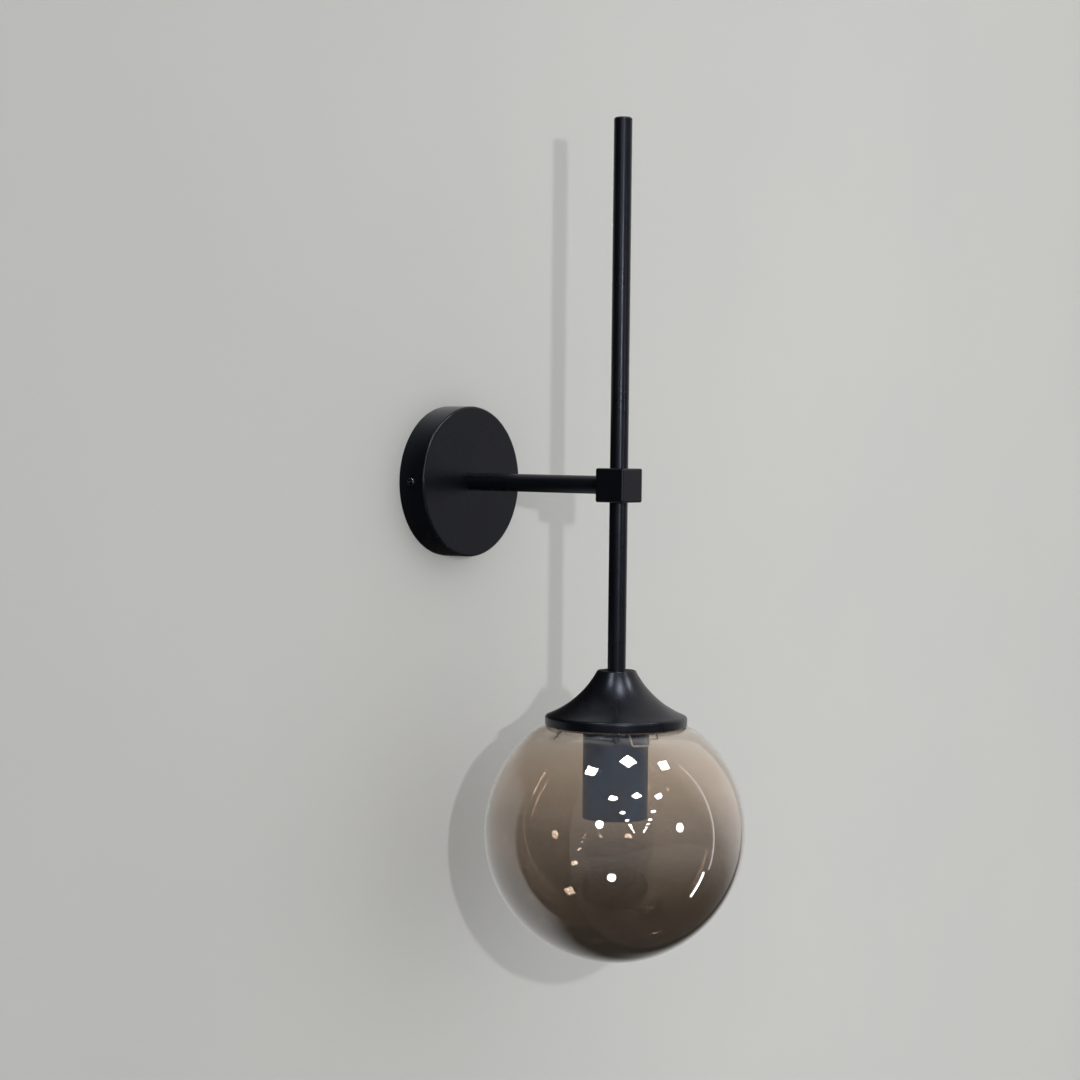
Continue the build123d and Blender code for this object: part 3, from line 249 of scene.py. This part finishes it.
def globe_glass():
    """Blown globe: outer and inner spheres, each running into a tighter shoulder, joined by a
    fire-polished lip, which is a half circle as wide as the wall. The attribute outside is 1 where
    the surface faces away from the globe's middle, and 0 on its inner side."""
    shift = GLOBE_RADIUS - SHOULDER_RADIUS
    centre = (shift * sin(radians(SHOULDER_ANGLE)), shift * cos(radians(SHOULDER_ANGLE)))
    start = 90 - SHOULDER_ANGLE
    lip_radius = GLASS_WALL / 2
    lip_line = SHOULDER_RADIUS - lip_radius
    lip_x = MOUTH_RADIUS + lip_radius - centre[0]
    end = np.degrees(np.arccos(lip_x / lip_line))
    lip = (centre[0] + lip_line * cos(radians(end)), centre[1] + lip_line * sin(radians(end)))
    profile = np.vstack([arc((0, 0), GLOBE_RADIUS, -90, start, BALL_LEVELS),
                         arc(centre, SHOULDER_RADIUS, start, end, SHOULDER_LEVELS)[1:],
                         arc(lip, lip_radius, end, end + 180, LIP_LEVELS)[1:-1],
                         arc(centre, SHOULDER_RADIUS - GLASS_WALL, end, start, SHOULDER_LEVELS),
                         arc((0, 0), GLOBE_RADIUS - GLASS_WALL, start, -90, BALL_LEVELS)[1:]])
    made = surface("globe_glass", turned(profile, GLOBE_COLUMNS, GLOBE_CENTRE))
    mesh = made.data
    points, normals = np.empty(3 * len(mesh.vertices)), np.empty(3 * len(mesh.vertices))
    mesh.vertices.foreach_get("co", points)
    mesh.vertices.foreach_get("normal", normals)
    from_middle = points.reshape(-1, 3) - np.array([0, AXIS_Y, GLOBE_CENTRE]) * MM
    outside = ((from_middle * normals.reshape(-1, 3)).sum(1) > 0).astype(np.float32)
    mesh.attributes.new("outside", "FLOAT", "POINT").data.foreach_set("value", outside)
    return made


def threaded_shell():
    """Drawn and rolled screw shell: at height z and angle a the wall stands out from the minor radius
    by half the thread's depth times 1 + cos(turns), turns = 2 pi z / pitch - a, and it fades to
    plain at the mouth and at the top. A flat plate with a hole leads from its inner side to its outer."""
    low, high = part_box("screw_shell")[0].z / MM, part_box("lampholder_core")[0].z / MM
    heights = np.linspace(low + SHELL_FIRST, high - SHELL_LAST, SHELL_LEVELS)
    angles = np.linspace(0, 2 * pi, SHELL_COLUMNS, endpoint=False)
    grown = np.clip((heights - low) / THREAD_RISE, 0, 1)
    fade = grown * np.clip((high - THREAD_END - heights) / THREAD_FADE, 0, 1)
    wave = 0.5 + 0.5 * np.cos(2 * pi * heights[:, None] / THREAD_PITCH - angles)
    inside = THREAD_MINOR + THREAD_DEPTH * wave * fade[:, None]
    plate, depths = np.array(SHELL_PLATE).T
    mouth = THREAD_MINOR + SHELL_WALL / 2
    radii = np.vstack([inside, plate[:, None] + 0 * angles, inside[::-1] + SHELL_WALL, mouth + 0 * angles])
    levels = np.concatenate([heights, high - depths, heights[::-1], [low + SHELL_MOUTH]])
    grid = np.stack([radii * np.cos(angles), AXIS_Y + radii * np.sin(angles),
                     levels[:, None] + 0 * angles], axis=-1)
    return surface("threaded_shell", grid, wrap_rows=True)


def shell_tab():
    """Flat tab of the screw shell, up through the core: every level is a thin rectangle with rounded
    corners, whose point at angle a lies at half its thickness times |cos a| and half its width times
    |sin a|, both to the power TAB_CORNER and with their signs. Both ends close on their middles."""
    low, high = (corner.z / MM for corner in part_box("lampholder_core"))
    low -= TAB_ROOT
    angles = np.linspace(0, 2 * pi, TAB_COLUMNS, endpoint=False)
    share = np.array([0, TAB_END, 1, 1, TAB_END, 0])[:, None]
    levels = np.array([low, low, low + TAB_EDGE, high - TAB_EDGE, high, high])[:, None]
    ca, sa = np.cos(angles), np.sin(angles)
    return surface("shell_tab", np.stack([
        TAB_PLACE + TAB_THICKNESS / 2 * share * np.sign(ca) * abs(ca) ** TAB_CORNER,
        AXIS_Y + TAB_WIDTH / 2 * share * np.sign(sa) * abs(sa) ** TAB_CORNER,
        levels + 0 * angles], axis=-1))


def contact_coil():
    """Coil spring of the centre contact: a circle as thick as the wire is carried along a helix whose
    height grows evenly with its angle, across the helix's own direction, and both ends close."""
    low, high = (corner.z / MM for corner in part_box("contact_spring"))
    share = np.concatenate([[0], np.linspace(0, 1, COIL_STEPS), [1]])
    thick = np.concatenate([[0], np.ones(COIL_STEPS), [0]])[:, None, None] * COIL_WIRE / 2
    angles = 2 * pi * COIL_TURNS * share
    rise = high - low - COIL_WIRE
    ca, sa = np.cos(angles), np.sin(angles)
    middle = np.stack([COIL_RADIUS * ca, AXIS_Y + COIL_RADIUS * sa,
                       low + COIL_WIRE / 2 + rise * share], axis=1)
    outward = np.stack([ca, sa, 0 * ca], axis=1)
    along = np.stack([-COIL_RADIUS * sa, COIL_RADIUS * ca, 0 * ca + rise / (2 * pi * COIL_TURNS)], axis=1)
    across = np.cross(along / np.linalg.norm(along, axis=1)[:, None], outward)
    u = np.linspace(0, 2 * pi, WIRE_COLUMNS, endpoint=False)[None, :, None]
    return surface("contact_coil", middle[:, None] + thick * (
        np.cos(u) * outward[:, None] + np.sin(u) * across[:, None]))


# ---- materials ----

def add_node(tree, kind, settings=None, inputs=None):
    """Adds a node. An input is a value, or another node's output that is linked to it."""
    made = tree.nodes.new(kind)
    for name, value in (settings or {}).items():
        setattr(made, name, value)
    for key, value in (inputs or {}).items():
        if isinstance(value, bpy.types.NodeSocket):
            tree.links.new(value, made.inputs[key])
        else:
            made.inputs[key].default_value = value
    return made


def finish_material(name, build, over=None, **sockets):
    """Material whose shader takes constant sockets, and what build(tree, place) returns for others.
    Where over is given, over(tree, place, shader) has the last word on it."""
    material = bpy.data.materials.new(name)
    material.use_nodes = True
    tree = material.node_tree
    tree.nodes.clear()
    place = add_node(tree, "ShaderNodeTexCoord").outputs["Object"]
    inputs = {key.replace("_", " "): value for key, value in sockets.items()}
    inputs.update(build(tree, place))
    shader = add_node(tree, "ShaderNodeBsdfPrincipled", inputs=inputs).outputs["BSDF"]
    if over:
        shader = over(tree, place, shader)
    add_node(tree, "ShaderNodeOutputMaterial", inputs={"Surface": shader})
    return material


def mottled(tree, place, size_mm, low, high, detail=2.0, low_at=0.35, high_at=0.65):
    """Two colours or values mixed by soft noise whose blotches are about size_mm across."""
    noise = add_node(tree, "ShaderNodeTexNoise", inputs={
        "Vector": place, "Scale": 1 / (size_mm * MM), "Detail": detail, "Roughness": 0.5})
    ramp = add_node(tree, "ShaderNodeValToRGB", inputs={"Fac": noise.outputs["Fac"]})
    for element, spot, value in zip(ramp.color_ramp.elements, (low_at, high_at), (low, high)):
        element.position = spot
        element.color = value if isinstance(value, list) else [value, value, value, 1.0]
    return ramp.outputs["Color"]


def grain(tree, place, size_mm, depth_mm):
    """Bump of soft noise whose grains are size_mm across and depth_mm deep."""
    noise = add_node(tree, "ShaderNodeTexNoise", inputs={
        "Vector": place, "Scale": 1 / (size_mm * MM), "Detail": 2.0, "Roughness": 0.55})
    return add_node(tree, "ShaderNodeBump", inputs={
        "Strength": 1.0, "Distance": depth_mm * MM, "Height": noise.outputs["Fac"]}).outputs["Normal"]


def zone(tree, *edges):
    """How much of a zone is at a place: each edge is a value, where the zone is 0 along it and where it
    is full, with a smooth rise between the two, and the zone is the product of its edges."""
    share = None
    for value, nothing, full in edges:
        rise = add_node(tree, "ShaderNodeMapRange", {"interpolation_type": "SMOOTHSTEP"}, {
            "Value": value, "From Min": nothing, "From Max": full}).outputs["Result"]
        share = rise if share is None else add_node(
            tree, "ShaderNodeMath", {"operation": "MULTIPLY"}, {0: share, 1: rise}).outputs["Value"]
    return share


def skin(colour, roughness, bump):
    """Pattern of an opaque finish. colour and roughness are the size of their blotches in mm, their two
    ends and what else mottled takes, and bump is the size and the depth of the grain in mm."""
    def build(tree, place):
        size_mm, low, high, *rest = colour
        return {"Base Color": mottled(tree, place, size_mm, linear(low), linear(high), *rest),
                "Roughness": mottled(tree, place, *roughness),
                "Normal": grain(tree, place, *bump)}
    return build


def smoked_glass(tree, place):
    """Nearly clear and pinkish at the shoulder, then warmer and deeper, to a dark brown-grey at the
    bottom. The colour is what one wall lets through. The film is denser towards the bottom too."""
    height = add_node(tree, "ShaderNodeSeparateXYZ", inputs={"Vector": place}).outputs["Z"]
    share = add_node(tree, "ShaderNodeMapRange", inputs={
        "Value": height, "From Min": (GLOBE_CENTRE - GLOBE_RADIUS) * MM,
        "From Max": (GLOBE_CENTRE + TINT_TOP * GLOBE_RADIUS) * MM}).outputs["Result"]
    ramp = add_node(tree, "ShaderNodeValToRGB", inputs={"Fac": share})
    ramp.color_ramp.interpolation = "EASE"
    for spot, code in GLASS_TINT:
        stop = ramp.color_ramp.elements.new(spot)
        stop.color = linear(code)
    ramp.color_ramp.elements.remove(ramp.color_ramp.elements[-1])
    ramp.color_ramp.elements.remove(ramp.color_ramp.elements[0])
    film = add_node(tree, "ShaderNodeMapRange", inputs={
        "Value": share, "From Min": THIN_FILM[0], "From Max": FULL_FILM[0],
        "To Min": THIN_FILM[1], "To Max": FULL_FILM[1]}).outputs["Result"]
    outside = add_node(tree, "ShaderNodeAttribute", {"attribute_name": "outside"}).outputs["Fac"]
    side = add_node(tree, "ShaderNodeMapRange", inputs={
        "Value": outside, "To Min": INSIDE_FILM, "To Max": 1.0}).outputs["Result"]
    film = add_node(tree, "ShaderNodeMath", {"operation": "MULTIPLY"}, {0: film, 1: side})
    return {"Base Color": ramp.outputs["Color"], "Coat Weight": film.outputs["Value"]}


def earth_insulation(tree, place):
    """Green and yellow in slanting bands, as the earth lead is marked, in the same waxy coat as the
    other leads. A diagonal wave's phase grows by ten times its scale, in radians, for each metre that
    X + Y + Z grow."""
    bands = add_node(tree, "ShaderNodeTexWave", {"wave_type": "BANDS", "bands_direction": "DIAGONAL"}, {
        "Vector": place, "Scale": 2 * pi / (10 * EARTH_BANDS * MM), "Distortion": 0.3})
    ramp = add_node(tree, "ShaderNodeValToRGB", inputs={"Fac": bands.outputs["Fac"]})
    ramp.color_ramp.interpolation = "CONSTANT"
    ramp.color_ramp.elements[0].color = linear("#2f8a3a")
    ramp.color_ramp.elements[1].color = linear("#dfc52c")
    ramp.color_ramp.elements[1].position = 0.5
    return {"Base Color": ramp.outputs["Color"],
            "Roughness": mottled(tree, place, 4, 0.34, 0.46),
            "Normal": grain(tree, place, 0.6, 0.005)}


def painted_wall(tree, place):
    """Roller-painted plaster: very pale grey emulsion, faintly cloudy. Painted light makes it a shade
    lighter to the right, standing in for light that is stronger there.
    """
    across = add_node(tree, "ShaderNodeSeparateXYZ", inputs={"Vector": place}).outputs["X"]
    # painted light: the base colour blends from darker on the left to lighter on the right
    shade = add_node(tree, "ShaderNodeMix", {"data_type": "RGBA"}, {
        "Factor": zone(tree, (across, *PAINTED_LIGHT_EDGES)),
        "A": mottled(tree, place, 260, linear("#b5b5b4"), linear("#b7b7b5"), 3),
        "B": mottled(tree, place, 300, linear("#d8d8d6"), linear("#dadad7"), 3)})
    return {"Base Color": shade.outputs["Result"]}


def painted_room_reflection(tree, place, paint):
    """Painted reflection: lets reflected gloss see the wall as a glowing dim room with pale zones behind
    the globe, on the right and above the arm, and lets the view through the wall from behind."""
    axes = add_node(tree, "ShaderNodeSeparateXYZ", inputs={"Vector": place}).outputs
    colour = linear(PAINTED_ROOM_REFLECTION)
    for shade, *edges in PAINTED_REFLECTION_ZONES:
        share = zone(tree, *((axes[axis], nothing, full) for axis, nothing, full in edges))
        colour = add_node(tree, "ShaderNodeMix", {"data_type": "RGBA"}, {
            "Factor": share, "A": colour, "B": linear(shade)}).outputs["Result"]
    # the painted reflection is an emission, so the wall glows in gloss though it is no lamp
    seen = add_node(tree, "ShaderNodeEmission", inputs={"Color": colour}).outputs["Emission"]
    # a ray that glass bends counts as glossy too, so only one that is also reflected is mirrored
    rays = add_node(tree, "ShaderNodeLightPath").outputs
    mirrored = add_node(tree, "ShaderNodeMath", {"operation": "MULTIPLY"}, {
        0: rays["Is Glossy Ray"], 1: rays["Is Reflection Ray"]}).outputs["Value"]
    front = add_node(tree, "ShaderNodeMixShader", inputs={0: mirrored, 1: paint, 2: seen}).outputs["Shader"]
    behind = add_node(tree, "ShaderNodeNewGeometry").outputs["Backfacing"]
    clear = add_node(tree, "ShaderNodeBsdfTransparent").outputs["BSDF"]
    return add_node(tree, "ShaderNodeMixShader", inputs={0: behind, 1: front, 2: clear}).outputs["Shader"]


def pale_floor(tree, place):
    """Matt pale floor paint with a faint cloudiness."""
    return {"Base Color": mottled(tree, place, 400, linear("#c8c8c6"), linear("#cececb"), 3)}


# the finish of each of the record's material slots
FINISHES = {
    # Sprayed and stoved black enamel, faintly blue: an orange peel too fine to see one by one softens
    # the long highlights, and the gloss drifts slowly from place to place.
    "black_paint": finish_material(
        "satin_black_enamel", skin((40, "#08090d", "#0b0c11"), (25, 0.26, 0.32), (1.6, 0.003)),
        Specular_IOR_Level=0.25, Specular_Tint=linear("#dfe6ff")),
    # Sprayed lampholder cup: a duller and bluer coat than the outside metal, which looks like dark
    # slate behind the warm glass.
    "sleeve_paint": finish_material(
        "sleeve_lacquer", skin((30, "#1c3c60", "#214870"), (12, 0.34, 0.46), (1.2, 0.01))),
    # Bright zinc on pressed steel: cool grey with a cloudy spangle and fine rolling grain.
    "zinc_steel": finish_material(
        "zinc_plate", skin((3, "#a9adb0", "#c5c8ca", 3), (2, 0.28, 0.42, 3), (0.5, 0.004)),
        Metallic=1.0),
    # Oil-blackened steel on a turned screw: dark grey, with a steely glint where its head is worn.
    "blackened_steel": finish_material(
        "blackened_steel", skin((2, "#2c2c2e", "#88888a", 3, 0.4, 0.65), (1.2, 0.2, 0.34), (0.4, 0.002)),
        Metallic=1.0),
    # Hot-tinned copper lug: soft silver with dull patches from the dip.
    "tinned_copper": finish_material(
        "tinned_copper", skin((2, "#b5b3ae", "#cfcdc8"), (1.5, 0.3, 0.48), (0.8, 0.01)),
        Metallic=1.0),
    # Drawn and turned brass: yellow metal, browner where it has been handled, with faint tool grain.
    "brass": finish_material(
        "rolled_brass", skin((3, "#b8934f", "#d8b46a", 3), (2, 0.2, 0.34, 3), (0.4, 0.003)),
        Metallic=1.0),
    # Hard-drawn stainless spring wire: bright, with fine draw marks.
    "spring_steel": finish_material(
        "spring_wire", skin((1.2, "#dfe0e1", "#f0f1f2"), (0.8, 0.26, 0.36), (0.25, 0.002)),
        Metallic=1.0),
    # Blown soda-lime glass with a fumed smoke tint, under a thin metallic smoke film that makes its
    # reflections crisp.
    "smoked_glass": finish_material(
        "smoked_glass", smoked_glass,
        Roughness=0.0, IOR=1.52, Transmission_Weight=1.0, Coat_Roughness=0.0, Coat_IOR=2.2),
    # Moulded silicone ring: milky, soft sheen, with a trace of dust.
    "silicone": finish_material(
        "clear_silicone", skin((6, "#cfcec8", "#dedcd6"), (3, 0.45, 0.6), (0.8, 0.01)),
        IOR=1.41, Subsurface_Weight=0.1),
    # Compression-moulded phenolic: deep black with a dull moulded skin and very fine flow marks.
    "bakelite": finish_material(
        "black_bakelite", skin((8, "#0d0d0e", "#161617"), (5, 0.3, 0.42), (0.9, 0.008)),
        IOR=1.6),
    # Pressed steatite with a thin glaze: cream white with small dark specks and a soft wave.
    "porcelain": finish_material(
        "glazed_porcelain", skin((1.5, "#cfc9bc", "#ebe7dd", 3, 0.22, 0.34), (4, 0.12, 0.2), (2.5, 0.02)),
        IOR=1.55),
    # Injection-moulded polyamide: ivory, faintly uneven, with the fine grain of the mould.
    "polyamide": finish_material(
        "moulded_polyamide", skin((7, "#dcd8cb", "#e8e5da"), (3, 0.42, 0.55), (0.35, 0.006)),
        IOR=1.53),
    # Extruded lead insulation: one colour, slightly deeper in patches, with a soft waxy sheen.
    "brown_insulation": finish_material(
        "brown_insulation", skin((9, "#553019", "#6b3f24"), (4, 0.34, 0.46), (0.6, 0.005))),
    "blue_insulation": finish_material(
        "blue_insulation", skin((9, "#1f5296", "#2a64b0"), (4, 0.34, 0.46), (0.6, 0.005))),
    "earth_insulation": finish_material("earth_insulation", earth_insulation),
}

for subpart in frame["record"]["subparts"]:
    mesh = frame["nodes"][subpart["node"]].data
    mesh.materials.clear()
    mesh.materials.append(FINISHES[subpart["material_slot"]])

# ---- pieces that stand for CAD nodes ----

globe = globe_glass()
globe.data.materials.append(FINISHES["smoked_glass"])
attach(globe, "globe")
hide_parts("glass_globe")

shell = threaded_shell()
join(shell, shell_tab())
shell.data.materials.append(FINISHES["brass"])
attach(shell, "fixture")
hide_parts("screw_shell")

coil = contact_coil()
coil.data.materials.append(FINISHES["spring_steel"])
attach(coil, "fixture")
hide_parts("contact_spring")
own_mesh(coil)

# ---- stage ----

def wall_with_hole():
    """Flat wall y = 0 between a round hole and a large rectangle: ring k of the grid goes from the
    circle to the rectangle's edge in the same direction, and its rings are spaced by k squared."""
    angles = np.linspace(0, 2 * pi, WALL_COLUMNS, endpoint=False) + NEARLY_ZERO
    ca, sa = np.cos(angles), np.sin(angles)
    top = np.where(sa > 0, WALL_TOP, -FLOOR_HEIGHT)
    edge = np.minimum(WALL_HALF_WIDTH / np.maximum(abs(ca), NEARLY_ZERO),
                      top / np.maximum(abs(sa), NEARLY_ZERO))
    share = (np.linspace(0, 1, WALL_RINGS) ** 2)[:, None]
    radius = WALL_HOLE + (edge - WALL_HOLE) * share
    grid = np.stack([radius * ca, 0 * radius, radius * sa], axis=-1) / MM
    return flat_sheet("wall", grid, Vector((0, -1, 0)), wrap_columns=True)


def floor_of_room():
    """Flat floor as an even grid across the room, from behind the wall to the room's far end."""
    across = np.linspace(-FLOOR_HALF_WIDTH, FLOOR_HALF_WIDTH, FLOOR_POINTS)
    along = np.linspace(ROOM_DEPTH, -ROOM_DEPTH, FLOOR_POINTS)
    x, y = np.meshgrid(across, along)
    grid = np.stack([x, y, 0 * x + FLOOR_HEIGHT], axis=-1) / MM
    return flat_sheet("floor", grid, Vector((0, 0, 1)), wrap_columns=False)


wall = wall_with_hole()
wall.data.materials.append(finish_material(
    "painted_wall", painted_wall, painted_room_reflection, Roughness=0.9, Specular_IOR_Level=0.1))
floor = floor_of_room()
floor.data.materials.append(finish_material(
    "pale_floor", pale_floor, Roughness=0.9, Specular_IOR_Level=0.1))
floor.visible_glossy = False  # gloss shows the studio's own darker lower half instead


def direction(azimuth, rise):
    """Unit vector to a place round the globe: azimuth 0 is straight out from the wall, 90 is +X."""
    a, e = radians(azimuth), radians(rise)
    return Vector((sin(a) * cos(e), -cos(a) * cos(e), sin(e)))


def studio_world():
    """Even studio: a grey surround that camera, gloss and glass see, darker below and with a soft
    bright side on its right, and a white level for what is matt."""
    world = bpy.data.worlds.new("studio")
    world.use_nodes = True
    tree = world.node_tree
    tree.nodes.clear()
    toward = add_node(tree, "ShaderNodeTexCoord").outputs["Generated"]
    rise = add_node(tree, "ShaderNodeSeparateXYZ", inputs={"Vector": toward}).outputs["Z"]
    surround = add_node(tree, "ShaderNodeMix", {"data_type": "RGBA"}, {
        "Factor": zone(tree, (rise, *BELOW_EDGES)), "A": linear(BELOW), "B": linear(SURROUND)})
    along = add_node(tree, "ShaderNodeVectorMath", {"operation": "DOT_PRODUCT"},
                     {0: toward, 1: direction(*BRIGHT_TOWARD)}).outputs["Value"]
    surround = add_node(tree, "ShaderNodeMix", {"data_type": "RGBA"}, {
        "Factor": zone(tree, (along, *BRIGHT_EDGES)),
        "A": surround.outputs["Result"], "B": linear(BRIGHT_SIDE)})
    rays = add_node(tree, "ShaderNodeLightPath").outputs
    seen = add_node(tree, "ShaderNodeMath", {"operation": "ADD"}, {
        0: rays["Is Camera Ray"], 1: rays["Is Glossy Ray"]})
    seen = add_node(tree, "ShaderNodeMath", {"operation": "ADD", "use_clamp": True}, {
        0: seen.outputs["Value"], 1: rays["Is Transmission Ray"]})
    colour = add_node(tree, "ShaderNodeMix", {"data_type": "RGBA"}, {
        "Factor": seen.outputs["Value"], "A": [MATT_LEVEL] * 3 + [1.0],
        "B": surround.outputs["Result"]})
    background = add_node(tree, "ShaderNodeBackground", inputs={"Color": colour.outputs["Result"]})
    add_node(tree, "ShaderNodeOutputWorld", inputs={"Surface": background.outputs["Background"]})
    bpy.context.scene.world = world


def lamp(name, spot, shape, size, watts, length=None, toward=None, gloss_only=True):
    """Area lamp at a spot from the globe's middle. It faces the middle, or the way that toward gives.
    One for gloss only leaves what is matt alone, so that it only shows in gloss and glass."""
    light = bpy.data.lights.new(name, "AREA")
    light.shape = shape
    light.size = size
    if length:
        light.size_y = length
    light.energy = watts
    made = bpy.data.objects.new(name, light)
    made.location = Vector((0, AXIS_Y, GLOBE_CENTRE)) * MM + spot
    made.rotation_mode = "QUATERNION"
    made.rotation_quaternion = (-spot if toward is None else toward).to_track_quat("-Z", "Y")
    made.visible_camera = False
    made.visible_diffuse = not gloss_only
    bpy.context.scene.collection.objects.link(made)


studio_world()

# ceiling of small square panels that face down, in rows; the middle column stops early
for row in range(CEILING_ROWS):
    for column in (0, 1, 2) if row < WHOLE_ROWS else (0, 2):
        lamp(f"ceiling_panel_{row}_{column}", FIRST_PANEL + column * PANEL_TO_COLUMN + row * PANEL_TO_ROW,
             "SQUARE", size=0.34, watts=18.0, toward=Vector((0, 0, -1)))

# round lamps at about the globe's height
for name, toward in ROUND_LAMPS.items():
    lamp(f"round_lamp_{name}", direction(*toward) * ROUND_DISTANCE, "DISK", size=0.36, watts=4.5)

# a low tube, upright, on the right
tube_low, tube_high = (direction(*end) * TUBE_DISTANCE for end in TUBE_ENDS)
lamp("tube", (tube_low + tube_high) / 2, "RECTANGLE", size=0.05, length=0.56, watts=2.0)

# a faint upright strip on the right, such as the edge of a door
door = direction(DOOR_AZIMUTH, 0) * DOOR_DISTANCE
lamp("door_edge", door + Vector((0, 0, DOOR_HEIGHT)), "RECTANGLE", size=0.07, length=3.2, watts=1.2,
     toward=-door)

# the key: a small lamp in front and to the left, that gives the light its shadow on the wall
lamp("key", direction(*KEY_TOWARD) * KEY_DISTANCE, "DISK", size=0.05, watts=11.5, gloss_only=False)

# ---- camera ----

camera = bpy.data.objects.new("camera", bpy.data.cameras.new("camera"))
camera.data.lens = CAMERA_LENS
camera.data.sensor_width = CAMERA_SENSOR
azimuth, pitch, roll = (radians(angle) for angle in (CAMERA_AZIMUTH, CAMERA_PITCH, CAMERA_ROLL))
ahead = Vector((-sin(azimuth) * cos(pitch), cos(azimuth) * cos(pitch), sin(pitch)))
level = Vector((cos(azimuth), sin(azimuth), 0))
raised = level.cross(ahead)
side = cos(roll) * level + sin(roll) * raised
top = -sin(roll) * level + cos(roll) * raised
camera.matrix_world = Matrix.Translation(CAMERA_PLACE) @ Matrix((side, top, -ahead)).transposed().to_4x4()
bpy.context.scene.collection.objects.link(camera)
bpy.context.scene.camera = camera
bpy.context.scene.view_settings.view_transform = "Standard"
